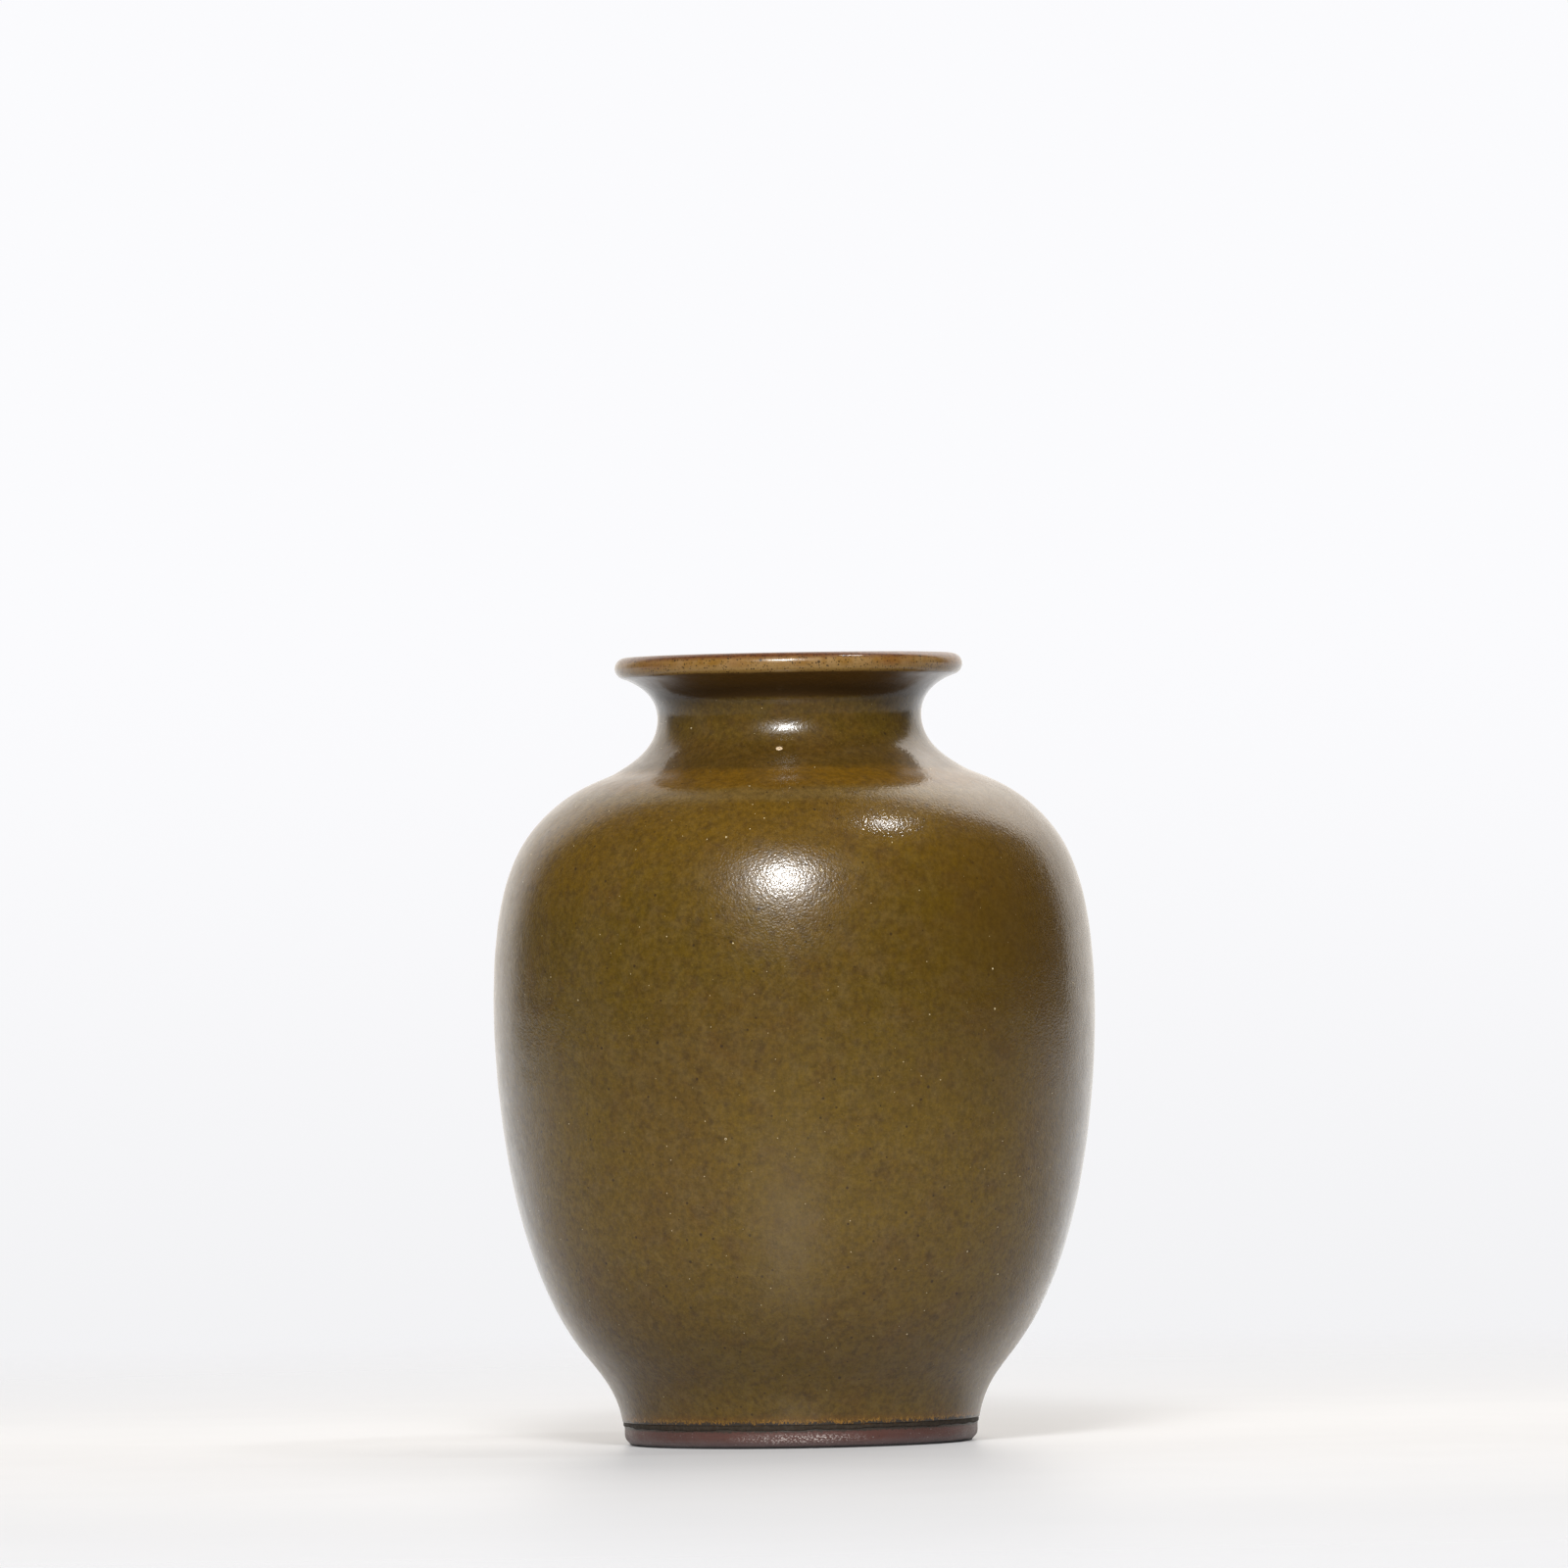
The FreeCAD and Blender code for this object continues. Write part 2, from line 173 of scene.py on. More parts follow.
def outside_lines(inset):
    """Foot to belly, belly to throat, throat to roll, and the roll up to its top, inset by a coat."""
    belly = (BELLY_RADIUS, BELLY_HEIGHT)
    throat = (THROAT_RADIUS, THROAT_HEIGHT)
    roll = ROLL - inset
    sin, cos = math.sin(ROLL_TURN), math.cos(ROLL_TURN)
    roll_start = (ROLL_CENTRE[0] + roll * sin, ROLL_CENTRE[1] - roll * cos)
    lead_in = (roll_start[0] - ROLL_LEAD * cos, roll_start[1] - ROLL_LEAD * sin)
    mouth = stretch_poles(throat, ROLL_CENTRE, THROAT_TO_ROLL_SHARES, -inset)
    return [
        spline(stretch_poles((FOOT_RADIUS + GLAZE_STAND, EDGE_LOW), belly, FOOT_TO_BELLY_SHARES, -inset)),
        spline(stretch_poles(belly, throat, BELLY_TO_THROAT_SHARES, -inset)),
        spline(mouth + [lead_in, roll_start]),
        arc(ROLL_CENTRE, roll, ROLL_TURN - math.pi / 2, math.pi / 2),
    ]


def hollow_lines(outward):
    """Bowl, shoulder and flare of the hollow, from the flat of the floor to the top of the lip."""
    floor = (FLOOR_FLAT_RADIUS, FLOOR_BACK + COAT)
    belly = (HOLLOW_RADIUS, BELLY_HEIGHT)
    land = (LAND_RADIUS, THROAT_HEIGHT - LAND_DROP)
    flare = ROLL_CENTRE[0] - LAND_RADIUS
    centre = (ROLL_CENTRE[0], MOUTH_HEIGHT - flare)
    return [
        spline(stretch_poles(floor, belly, BOWL_SHARES, outward)),
        spline(stretch_poles(belly, land, HOLLOW_SHOULDER_SHARES, outward)),
        arc(centre, flare - outward, math.pi, math.pi / 2),
    ]


def ripple(angle, height, seed, pitch, turns=3):
    """Soft unevenness of thrown clay, from -1 to 1: a few waves that climb and go round the wall."""
    dice = np.random.default_rng(seed)
    total = 0
    for octave in range(1, 6):
        phase = dice.uniform(0, FULL_TURN)
        drift = dice.uniform(0, FULL_TURN)
        climb = FULL_TURN * height / (pitch * dice.uniform(0.7, 1.6))
        round_wave = dice.integers(0, turns + 1)
        total = total + np.sin(climb + round_wave * angle + phase) * np.cos(octave % 3 * angle + drift) / 3
    return total


def around(angle, seed, waves):
    """Unevenness round a ring, about -1 to 1, with no step where the turn closes."""
    dice = np.random.default_rng(seed)
    total = 0
    for wave in waves:
        total = total + np.sin(wave * angle + dice.uniform(0, FULL_TURN)) / math.sqrt(len(waves))
    return total


def normals_of(line, closed):
    """Outward direction through the wall at each point of a section that runs upward on its outside."""
    if closed:
        along = np.roll(line, -1, axis=0) - np.roll(line, 1, axis=0)
    else:
        along = np.gradient(line, axis=0)
    along /= np.maximum(np.hypot(*along.T), 1e-12)[:, None]
    return np.stack([along[:, 1], -along[:, 0]], axis=1)


def turned(name, section, relief=None, shown=None, on_axis=False):
    """A piece turned about Z from a section; relief moves its shown rows outward through the wall."""
    angle = np.linspace(0, FULL_TURN, SEGMENTS, endpoint=False)[None, :]
    radius = np.repeat(section[:, :1], SEGMENTS, axis=1)
    height = np.repeat(section[:, 1:], SEGMENTS, axis=1)
    if relief is not None:
        out = normals_of(section, not on_axis)
        move = relief(angle, radius, height)
        if shown is not None:
            hidden = np.ones(len(section), bool)
            hidden[shown] = False
            move[hidden] = 0
        radius = radius + out[:, :1] * move
        height = height + out[:, 1:] * move
    return mesh_from_rings(name, radius, height, angle, on_axis)


def placed(name, places, faces):
    """A new object in the scene, with a mesh of these places and faces."""
    mesh = bpy.data.meshes.new(name)
    mesh.from_pydata(places, [], faces)
    piece = bpy.data.objects.new(name, mesh)
    bpy.context.scene.collection.objects.link(piece)
    return piece


def mesh_from_rings(name, radius, height, angle, on_axis=False):
    """A closed mesh from rings of points; on_axis closes the first and last ring in one point each."""
    rows, segments = radius.shape
    rings = np.stack([radius * np.sin(angle), -radius * np.cos(angle), height], axis=2)
    places = rings.reshape(-1, 3).tolist()
    here = np.arange(segments)
    ahead = np.roll(here, -1)
    faces = []
    for row in range(rows if not on_axis else rows - 1):
        low = row * segments
        high = (row + 1) % rows * segments
        faces += np.stack([low + here, low + ahead, high + ahead, high + here], axis=1).tolist()
    if on_axis:
        for row, flip in ((0, True), (rows - 1, False)):
            places.append([0, 0, float(height[row].mean())])
            tip = len(places) - 1
            for first, second in zip(here, ahead):
                face = [row * segments + int(first), row * segments + int(second), tip]
                faces.append(face[::-1] if flip else face)
    piece = placed(name, places, faces)
    piece.data.shade_smooth()
    piece.data.set_sharp_from_angle(angle=SHARP_ANGLE)
    return piece


def fade(values, start, end):
    """0 at start, 1 at end, and a smooth step between."""
    t = np.clip((values - start) / (end - start), 0, 1)
    return t * t * (3 - 2 * t)


# Depths and lengths of the hand-made unevenness
OUT_OF_ROUND = 0.05 * MM
THROWING_RING = 0.018 * MM
RING_PITCH = 7 * MM
INNER_RING = 0.09 * MM
SPIRAL_PITCH = 5 * MM
END_BLEND = 3 * MM
LIP_WAVE = 0.03 * MM
EDGE_WAVE = 0.30 * MM
EDGE_WAVE_FOOT = 0.8 * MM
EDGE_FULLEST_SHARE = 0.6
EDGE_OUTER_ROWS = 13
EDGE_BACK_ROWS = 5
TURNING_GROOVE = 0.02 * MM
TURNING_PITCH = 0.55 * MM
CLAY_GRAIN = 0.012 * MM
SMALL_EASE = 0.12 * MM
WIDE_EASE = 0.35 * MM
BASE_DISH = 0.06 * MM
BASE_DISH_POWER = 6
BASE_RINGS = 40
CENTRE_HOLE = 1 * MM


def body_relief(angle, radius, height):
    """The thrown wall's slight waves, gone where the coat meets its neighbours."""
    ends = fade(height, EDGE_TOP, EDGE_TOP + END_BLEND) * fade(height, ROLL_CENTRE[1] - ROLL, THROAT_HEIGHT)
    rings = ripple(angle, height, 5, RING_PITCH)
    return ends * (-OUT_OF_ROUND * (1 - around(angle, 11, (2, 3))) / 2 + THROWING_RING * rings)


def make_outer_glaze():
    """The main coat, from the dark edge over the foot to the underside of the lip."""
    walls = []
    for inset in (0, COAT):
        foot, shoulder, mouth, roll = outside_lines(inset)
        walls.append(np.vstack([
            evenly(trimmed(foot, 1, low=EDGE_TOP), BODY_STEP),
            evenly(shoulder, BODY_STEP)[1:],
            evenly(trimmed(mouth, 0, high=ROLL_CENTRE[0]), BODY_STEP / 2)[1:],
        ]))
    outer, back = walls
    return turned("outer_glaze_skin", np.vstack([outer, back[::-1]]), body_relief, slice(0, len(outer)))


def lip_relief(angle, radius, height):
    """The rolled rim's slight waves, gone where it meets the coats beside it."""
    near = fade(radius, ROLL_CENTRE[0], ROLL_CENTRE[0] + ROLL / 2)
    return -near * LIP_WAVE * (1 + around(angle, 23, (2, 5, 9, 14))) / 2


def make_lip_glaze():
    """The thin speckled coat over the rolled rim."""
    walls = []
    for inset in (0, COAT):
        mouth, roll = outside_lines(inset)[2:]
        walls.append(np.vstack([
            evenly(trimmed(mouth, 0, low=ROLL_CENTRE[0]), LIP_STEP),
            evenly(roll, LIP_STEP)[1:],
        ]))
    outer, back = walls
    return turned("lip_glaze_skin", np.vstack([outer, back[::-1]]), lip_relief, slice(0, len(outer)))


def hollow_relief(angle, radius, height):
    """Rings left by the fingers inside and the spiral on the floor, gone towards the middle and the neck."""
    on_wall = fade(radius, FLOOR_FLAT_RADIUS, FLOOR_FLAT_RADIUS * 1.5)
    below_neck = 1 - fade(height, THROAT_HEIGHT - 3 * LAND_DROP, THROAT_HEIGHT - LAND_DROP)
    rings = on_wall * below_neck * ripple(angle, height, 31, RING_PITCH)
    on_floor = (1 - on_wall) * fade(radius, CENTRE_HOLE, SPIRAL_PITCH)
    winds = on_floor * below_neck * np.sin(FULL_TURN * radius / SPIRAL_PITCH - angle)
    return INNER_RING * (rings + winds)


def make_inner_glaze():
    """The coat over the whole inside, from the middle of the floor to the top of the lip."""
    walls = []
    for outward in (0, COAT):
        bowl, shoulder, flare = hollow_lines(outward)
        floor = np.array([(CENTRE_HOLE, bowl[0][1]), tuple(bowl[0])])
        walls.append(np.vstack([
            evenly(floor, BODY_STEP),
            evenly(bowl, BODY_STEP * 1.5)[1:],
            evenly(shoulder, BODY_STEP)[1:],
            evenly(np.vstack([shoulder[-1:], flare]), BODY_STEP / 2)[1:],
        ]))
    inner, back = walls
    section = np.vstack([back, inner[::-1]])
    return turned("inner_glaze_skin", section, hollow_relief, slice(len(back), None), on_axis=True)


def make_base_glaze():
    """The coat in the recess under the vase, a little dished, with a meniscus at the foot ring."""
    radii = np.linspace(CENTRE_HOLE, RECESS_RADIUS, BASE_RINGS)
    dish = BASE_DISH * (1 - (radii / RECESS_RADIUS) ** BASE_DISH_POWER)
    under = np.stack([radii, RECESS_HEIGHT - COAT + dish], axis=1)
    top = np.stack([radii[::-1], np.full(len(radii), RECESS_HEIGHT)], axis=1)
    return turned("base_glaze_skin", np.vstack([under, top]), on_axis=True)


def edge_line(angle):
    """How far the coat's lower line wanders up from its lowest place."""
    return EDGE_WAVE * np.clip(0.5 + 0.5 * around(angle, 41, (3, 7, 13, 22, 37)), 0, 1)


def make_glaze_edge():
    """The dark rolled edge of the main coat, with its uneven lower line, in the step over the foot."""
    angle = np.linspace(0, FULL_TURN, 2 * SEGMENTS, endpoint=False)[None, :]
    swell = np.clip(0.7 + 0.3 * around(angle, 43, (2, 5, 11, 19)), 0, 1)
    low = EDGE_LOW + edge_line(angle)
    rim = FOOT_RADIUS + GLAZE_STAND + EDGE_BULGE
    full = rim + EDGE_BULGE * swell
    full_height = low + EDGE_FULLEST_SHARE * (EDGE_TOP - low)
    t = np.linspace(0, 1, EDGE_OUTER_ROWS)[:, None]
    one, two, three, four = (1 - t) ** 3, 3 * t * (1 - t) ** 2, 3 * t ** 2 * (1 - t), t ** 3
    outer_radius = one * FOOT_RADIUS + two * full + three * full + four * rim
    outer_height = one * low + two * low + three * full_height + four * EDGE_TOP
    bed, bed_top = (bed_radius(height) + EDGE_CLEARANCE for height in (EDGE_LOW, EDGE_TOP))
    back = np.linspace(1, 0, EDGE_BACK_ROWS)[:, None]
    back_radius = bed + (bed_top - bed) * back + 0 * angle
    back_height = low + (EDGE_TOP - low) * back
    radius = np.vstack([outer_radius, back_radius])
    height = np.vstack([outer_height, back_height])
    return mesh_from_rings("glaze_edge_roll", radius, height, angle)


def bed_radius(height):
    """Radius of the clay under the main coat, low on the wall."""
    line = outside_lines(COAT)[0]
    return float(np.interp(height, line[:, 1], line[:, 0]))


def eased(corners):
    """A line through corners of (radius, height, ease), each rounded off by its ease along both sides."""
    places = [np.array(corner[:2]) for corner in corners]
    points = [places[0]]
    for before, place, after, corner in zip(places, places[1:], places[2:], corners[1:]):
        start, end = (
            place + (other - place) * min(0.45, corner[2] / np.linalg.norm(other - place))
            for other in (before, after)
        )
        t = np.linspace(0, 1, 6)[:, None]
        points += list((1 - t) ** 2 * start + 2 * t * (1 - t) * place + t ** 2 * end)
    return np.array(points + [places[-1]])


def foot_relief(angle, radius, height):
    """Fine turning lines on the foot's side and bevels, and the grain of bare clay, cut inward only."""
    side = fade(radius, RECESS_RADIUS + FOOT_INNER_BEVEL, FOOT_RADIUS - FOOT_BEVEL)
    clear = fade(height, 0, FOOT_BEVEL / 3) * (1 - fade(height, EDGE_LOW - TURNING_PITCH, EDGE_LOW))
    lines = 0.5 + 0.5 * np.sin(FULL_TURN * height / TURNING_PITCH + 0.8 * around(angle, 51, (1, 2)))
    grain = 0.5 + 0.5 * around(angle + 40 * height / MM, 53, (47, 83, 131))
    return -clear * (TURNING_GROOVE * lines * (0.4 + 0.6 * side) + CLAY_GRAIN * np.clip(grain, 0, 1))


def make_foot_ring():
    """The bare turned foot ring, with eased bevels, turning lines and the step under the glaze edge."""
    outline = evenly(eased([
        (RECESS_RADIUS, RECESS_HEIGHT, 0),
        (RECESS_RADIUS, FOOT_INNER_BEVEL, SMALL_EASE),
        (RECESS_RADIUS + FOOT_INNER_BEVEL, 0, SMALL_EASE),
        (FOOT_RADIUS - 0.75 * FOOT_BEVEL, 0, SMALL_EASE),
        (FOOT_RADIUS - 0.60 * FOOT_BEVEL, 0.2 * FOOT_BEVEL, WIDE_EASE),
        (FOOT_RADIUS - 0.12 * FOOT_BEVEL, 0.7 * FOOT_BEVEL, WIDE_EASE),
        (FOOT_RADIUS, 1.2 * FOOT_BEVEL, WIDE_EASE),
        (FOOT_RADIUS, EDGE_LOW, SMALL_EASE / 2),
        (bed_radius(EDGE_LOW), EDGE_LOW, SMALL_EASE / 2),
        (bed_radius(EDGE_TOP), RECESS_HEIGHT, 0),
    ]), FOOT_STEP)
    angle = np.linspace(0, FULL_TURN, 2 * SEGMENTS, endpoint=False)[None, :]
    radius, height = (np.repeat(outline[:, i:i + 1], 2 * SEGMENTS, axis=1) for i in (0, 1))
    out = normals_of(outline, True)
    move = foot_relief(angle, radius, height)
    on_side = radius > bed_radius(EDGE_LOW) - SMALL_EASE
    near_line = fade(height, EDGE_LOW - EDGE_WAVE_FOOT, EDGE_LOW) * (1 - fade(height, EDGE_LOW, EDGE_TOP))
    radius = radius + out[:, :1] * move
    height = height + out[:, 1:] * move + on_side * near_line * edge_line(angle)
    return mesh_from_rings("foot_ring_turned", radius, height, angle)


# A pale bead of slip that stuck to the neck
BEAD_TURN = -4.1 * DEGREE
BEAD_HEIGHT = 131.9 * MM
BEAD_WIDE = 0.65 * MM
BEAD_TALL = 0.47 * MM
BEAD_RISE = 0.17 * MM
BEAD_SINK = 0.12 * MM
BEAD_RINGS = 9
BEAD_SEGMENTS = 32
BEAD_TOP_SHARE = 0.12
BEAD_DIMPLE = 0.35 * BEAD_RISE
BEAD_DIMPLE_SHARES = (0.15, 0.55)


def make_bead():
    """A flat oval bead with a dimple, set on the neck along its slope."""
    line = outside_lines(0)[1]
    at = int(np.argmin(abs(line[:, 1] - BEAD_HEIGHT)))
    slope = line[at + 1] - line[at - 1]
    slope /= np.hypot(*slope)
    ahead = Vector((math.sin(BEAD_TURN), -math.cos(BEAD_TURN), 0))
    across = Vector((math.cos(BEAD_TURN), math.sin(BEAD_TURN), 0))
    up = ahead * slope[0] + Vector((0, 0, slope[1]))
    out = across.cross(up)
    middle = ahead * line[at][0] + Vector((0, 0, line[at][1]))
    dome = np.linspace(1, BEAD_TOP_SHARE, BEAD_RINGS)
    shares = np.concatenate([[1.0], dome])
    rises = np.concatenate([[-BEAD_SINK], BEAD_RISE * np.sqrt(1 - dome ** 2)])
    rises -= BEAD_DIMPLE * (1 - fade(shares, *BEAD_DIMPLE_SHARES))
    count = BEAD_SEGMENTS
    places = []
    for share, rise in zip(shares, rises):
        for turn in np.linspace(0, FULL_TURN, count, endpoint=False):
            side = BEAD_WIDE * share * math.cos(turn)
            tall = BEAD_TALL * share * math.sin(turn)
            places.append(middle + across * side + up * tall + out * rise)
    faces = [tuple(range(count))[::-1], tuple(range(len(places) - count, len(places)))]
    for ring in range(len(shares) - 1):
        low = ring * count
        for i in range(count):
            j = (i + 1) % count
            faces.append((low + i, low + j, low + count + j, low + count + i))
    bead = placed("slip_bead", places, faces)
    bead.data.shade_smooth()
    return bead


class Look:
    """One procedural material, built node by node in the object's own coordinates."""

    def __init__(self, name):
        self.material = bpy.data.materials.new(name)
        self.material.use_nodes = True
        self.tree = self.material.node_tree
        self.tree.nodes.clear()
        self.place = self.add("ShaderNodeTexCoord").outputs["Object"]
        self.height = self.add("ShaderNodeSeparateXYZ", {"Vector": self.place}).outputs["Z"]

    def add(self, kind, sockets=None, **settings):
        """A node with its settings and its inputs, each a value or another node's output."""
        node = self.tree.nodes.new(kind)
        for name, setting in settings.items():
            setattr(node, name, setting)
        for name, given in (sockets or {}).items():
            if isinstance(given, bpy.types.NodeSocket):
                self.tree.links.new(given, node.inputs[name])
            else:
                node.inputs[name].default_value = given
        return node

    def math(self, operation, first, second=0.0):
        """One sum of two numbers."""
        return self.add("ShaderNodeMath", {0: first, 1: second}, operation=operation).outputs[0]

    def scaled(self, given, factor, offset=0.0):
        """A number times a factor, plus an offset."""
        sockets = {0: given, 1: factor, 2: offset}
        return self.add("ShaderNodeMath", sockets, operation="MULTIPLY_ADD").outputs[0]

    def steps(self, given, low, high):
        """0 where given is at low, 1 where it is at high, and a smooth slope between."""
        return self.add("ShaderNodeMapRange", {
            "Value": given, "From Min": low, "From Max": high, "To Min": 0.0, "To Max": 1.0,
        }, interpolation_type="SMOOTHSTEP").outputs["Result"]

    def moved(self, shift, stretch=(1, 1, 1)):
        """The place, shifted and stretched, so that two textures of one kind differ."""
        return self.add("ShaderNodeMapping", {
            "Vector": self.place, "Location": shift, "Scale": stretch,
        }).outputs["Vector"]

    def noise(self, size, detail=2, roughness=0.5, shift=None, stretch=(1, 1, 1)):
        """Noise from 0 to 1 whose blobs are about size across."""
        place = self.moved(shift, stretch) if shift else self.place
        return self.add("ShaderNodeTexNoise", {
            "Vector": place, "Scale": 1 / size, "Detail": detail, "Roughness": roughness,
        }).outputs["Fac"]

    def patches(self, size, detail, roughness, low, high, *move):
        """Noise that is 0 below one level and 1 above another."""
        return self.steps(self.noise(size, detail, roughness, *move), low, high)

    def swaying(self, size, detail, roughness, sway):
        """The height, swayed by noise, so that a line drawn by it wanders."""
        return self.scaled(self.noise(size, detail, roughness), sway, self.height)

    def patch(self, centre, radii):
        """1 at a place on the piece, 0 outside an ellipsoid round it, and a smooth slope between."""
        stretch = tuple(1 / radius for radius in radii)
        shift = tuple(-middle / radius for middle, radius in zip(centre, radii))
        near = self.add("ShaderNodeVectorMath", {0: self.moved(shift, stretch)}, operation="LENGTH")
        return self.steps(near.outputs["Value"], 1.0, 0.0)

    def spots(self, spacing, radius, share, shift, soft):
        """Scattered round spots; share is how many of the places have one."""
        cells = self.add("ShaderNodeTexVoronoi", {
            "Vector": self.moved((shift, shift / 2, -shift)), "Scale": 1 / spacing, "Randomness": 1.0,
        })
        chance = self.add("ShaderNodeSeparateColor", {"Color": cells.outputs["Color"]})
        spread = SPOT_SPREAD * radius / spacing
        size = self.scaled(chance.outputs["Green"], spread, radius / spacing - spread)
        round_spot = self.steps(cells.outputs["Distance"], size, self.math("MULTIPLY", size, soft))
        chosen = self.math("LESS_THAN", chance.outputs["Red"], share)
        return self.math("MULTIPLY", round_spot, chosen)

    def mix(self, share, first, second, blend="MIX"):
        """Two colours mixed, or one blended over the other."""
        node = self.add("ShaderNodeMix", {0: share}, data_type="RGBA", blend_type=blend)
        for socket, given in ((node.inputs[6], first), (node.inputs[7], second)):
            if isinstance(given, bpy.types.NodeSocket):
                self.tree.links.new(given, socket)
            else:
                socket.default_value = (*given, 1)
        return node.outputs[2]

    def over(self, colour, tint, share, strength):
        """A colour with a tint laid over it."""
        return self.mix(self.scaled(share, strength), colour, tint)

    def banded(self, colour, up, bands):
        """A colour that turns into each band's own as up climbs through the band."""
        for start, end, tint in bands:
            colour = self.mix(self.steps(up, start, end), colour, tint)
        return colour

    def patched(self, colour, *layers):
        """A colour with layers of patches over it in turn."""
        for tint, strength, *shape in layers:
            colour = self.over(colour, tint, self.patches(*shape), strength)
        return colour

    def spotted(self, colour, *layers):
        """A colour with layers of spots over it in turn."""
        for tint, strength, *shape in layers:
            colour = self.over(colour, tint, self.spots(*shape), strength)
        return colour

    def bump(self, height, distance, under=None):
        """A bump from heights between 0 and 1, distance deep, over another bump."""
        sockets = {"Height": height, "Distance": distance, "Strength": 1.0}
        if under is not None:
            sockets["Normal"] = under
        return self.add("ShaderNodeBump", sockets).outputs["Normal"]

    def finish(self, colour, roughness, normal, sheen):
        """The shader; sheen is the clay's own gloss, the share of a glassy top layer and its roughness."""
        level, coat, coat_roughness = sheen
        shader = self.add("ShaderNodeBsdfPrincipled", {
            "Base Color": colour, "Roughness": roughness, "Normal": normal, "IOR": GLAZE_IOR,
            "Specular IOR Level": level, "Coat Weight": coat, "Coat Roughness": coat_roughness,
            "Coat IOR": GLAZE_IOR, "Coat Normal": normal,
        })
        self.add("ShaderNodeOutputMaterial", {"Surface": shader.outputs["BSDF"]})
        return self.material


# Colours as linear red, green and blue
OLIVE = (0.107, 0.0625, 0.0046)
GOLDEN = (0.133, 0.071, 0.0026)
JUNCTION_GOLD = (0.164, 0.0785, 0.0036)
NECK_OLIVE = (0.096, 0.055, 0.0056)
NECK_DARK = (0.076, 0.040, 0.0042)
LOW_OLIVE = (0.135, 0.079, 0.0054)
FOOT_OLIVE = (0.117, 0.0685, 0.0060)
HAZE = (0.165, 0.112, 0.042)
BROWN = (0.100, 0.050, 0.0085)
SIDE_BROWN = (0.080, 0.041, 0.0055)
PALE_BROWN = (0.150, 0.100, 0.036)
IRON_DARK = (0.026, 0.015, 0.007)
BLOTCH = (0.055, 0.028, 0.0085)
DUST_YELLOW = (0.225, 0.150, 0.030)
CREAM = (0.76, 0.62, 0.36)
BEAD_PALE = (0.72, 0.55, 0.36)
BEAD_TAN = (0.33, 0.20, 0.09)
AMBER = (0.34, 0.165, 0.022)
RUST = (0.150, 0.062, 0.010)
EDGE_DARK = (0.038, 0.030, 0.022)
EDGE_ASHY = (0.068, 0.054, 0.042)
LIP_TAN = (0.302, 0.181, 0.066)
LIP_OCHRE = (0.235, 0.117, 0.019)
LIP_LOW = (0.318, 0.188, 0.052)
LIP_ORANGE = (0.205, 0.084, 0.019)
LIP_RED_BROWN = (0.105, 0.034, 0.012)
UNDER_LIP = (0.104, 0.051, 0.0125)
UNDER_LIP_DARK = (0.056, 0.029, 0.0085)
FOOT_CLAY = (0.110, 0.055, 0.047)
FOOT_CLAY_RED = (0.104, 0.040, 0.030)
FOOT_CLAY_GREY = (0.140, 0.086, 0.080)
FOOT_CLAY_DARK = (0.050, 0.026, 0.023)
# Painted contact shade: near-black for the shade under the foot's bevel where it meets the floor
FOOT_CONTACT_SHADE = (0.012, 0.009, 0.008)
# Painted highlight: the pale colour of glints that stand in for the key light sparkling on the foot's grit
FOOT_GLINT = (0.62, 0.54, 0.50)
BODY_CLAY = (0.19, 0.125, 0.085)

# Sheens: the clay's or glaze's own gloss, the share of the glassy top layer and its roughness
GLAZE_IOR = 1.5
GLAZE_LEVEL = 0.15
OUTER_SHEEN = (GLAZE_LEVEL, 0.58, 0.05)
LIP_SHEEN = (GLAZE_LEVEL, 0.58, 0.07)
INNER_SHEEN = (GLAZE_LEVEL, 0.40, 0.12)
BASE_SHEEN = (GLAZE_LEVEL, 0.30, 0.20)
BEAD_SHEEN = (GLAZE_LEVEL, 0.30, 0.10)
EDGE_SHEEN = (0.06, 0.0, 0.1)
CLAY_SHEEN = (0.5, 0.0, 0.1)

# Roughness where each surface is smoothest and where it is dullest
OUTER_DULLNESS = (0.28, 0.40)
INNER_DULLNESS = (0.32, 0.46)
BASE_DULLNESS = (0.38, 0.52)
LIP_DULLNESS = (0.32, 0.44)
EDGE_DULLNESS = (0.45, 0.60)
FOOT_DULLNESS = (0.30, 0.42)
BEAD_DULLNESS = 0.4
CLAY_DULLNESS = 0.8
GLINT_POLISH = 0.22

# Spots: spacing, largest radius, share of places with a spot, shift of the pattern, and how far in its rim
# has come to its full strength, as a share of the radius
SPOT_SPREAD = 0.6
PITS = (5.5 * MM, 0.16 * MM, 0.55, 1.9, 0.6)
PIT_RIMS = (5.5 * MM, 0.25 * MM, 0.55, 1.9, 0.8)
INNER_PITS = (5.5 * MM, 0.24 * MM, 0.5, 2.9, 0.6)
BASE_PITS = (2.2 * MM, 0.3 * MM, 0.6, 3.9, 0.6)
# Painted glints: spots on the foot painted pale as highlights, and also polished
GLINTS = (0.55 * MM, 0.15 * MM, 0.30, 7.9, 0.5)
GLINT_STRENGTH = 0.5

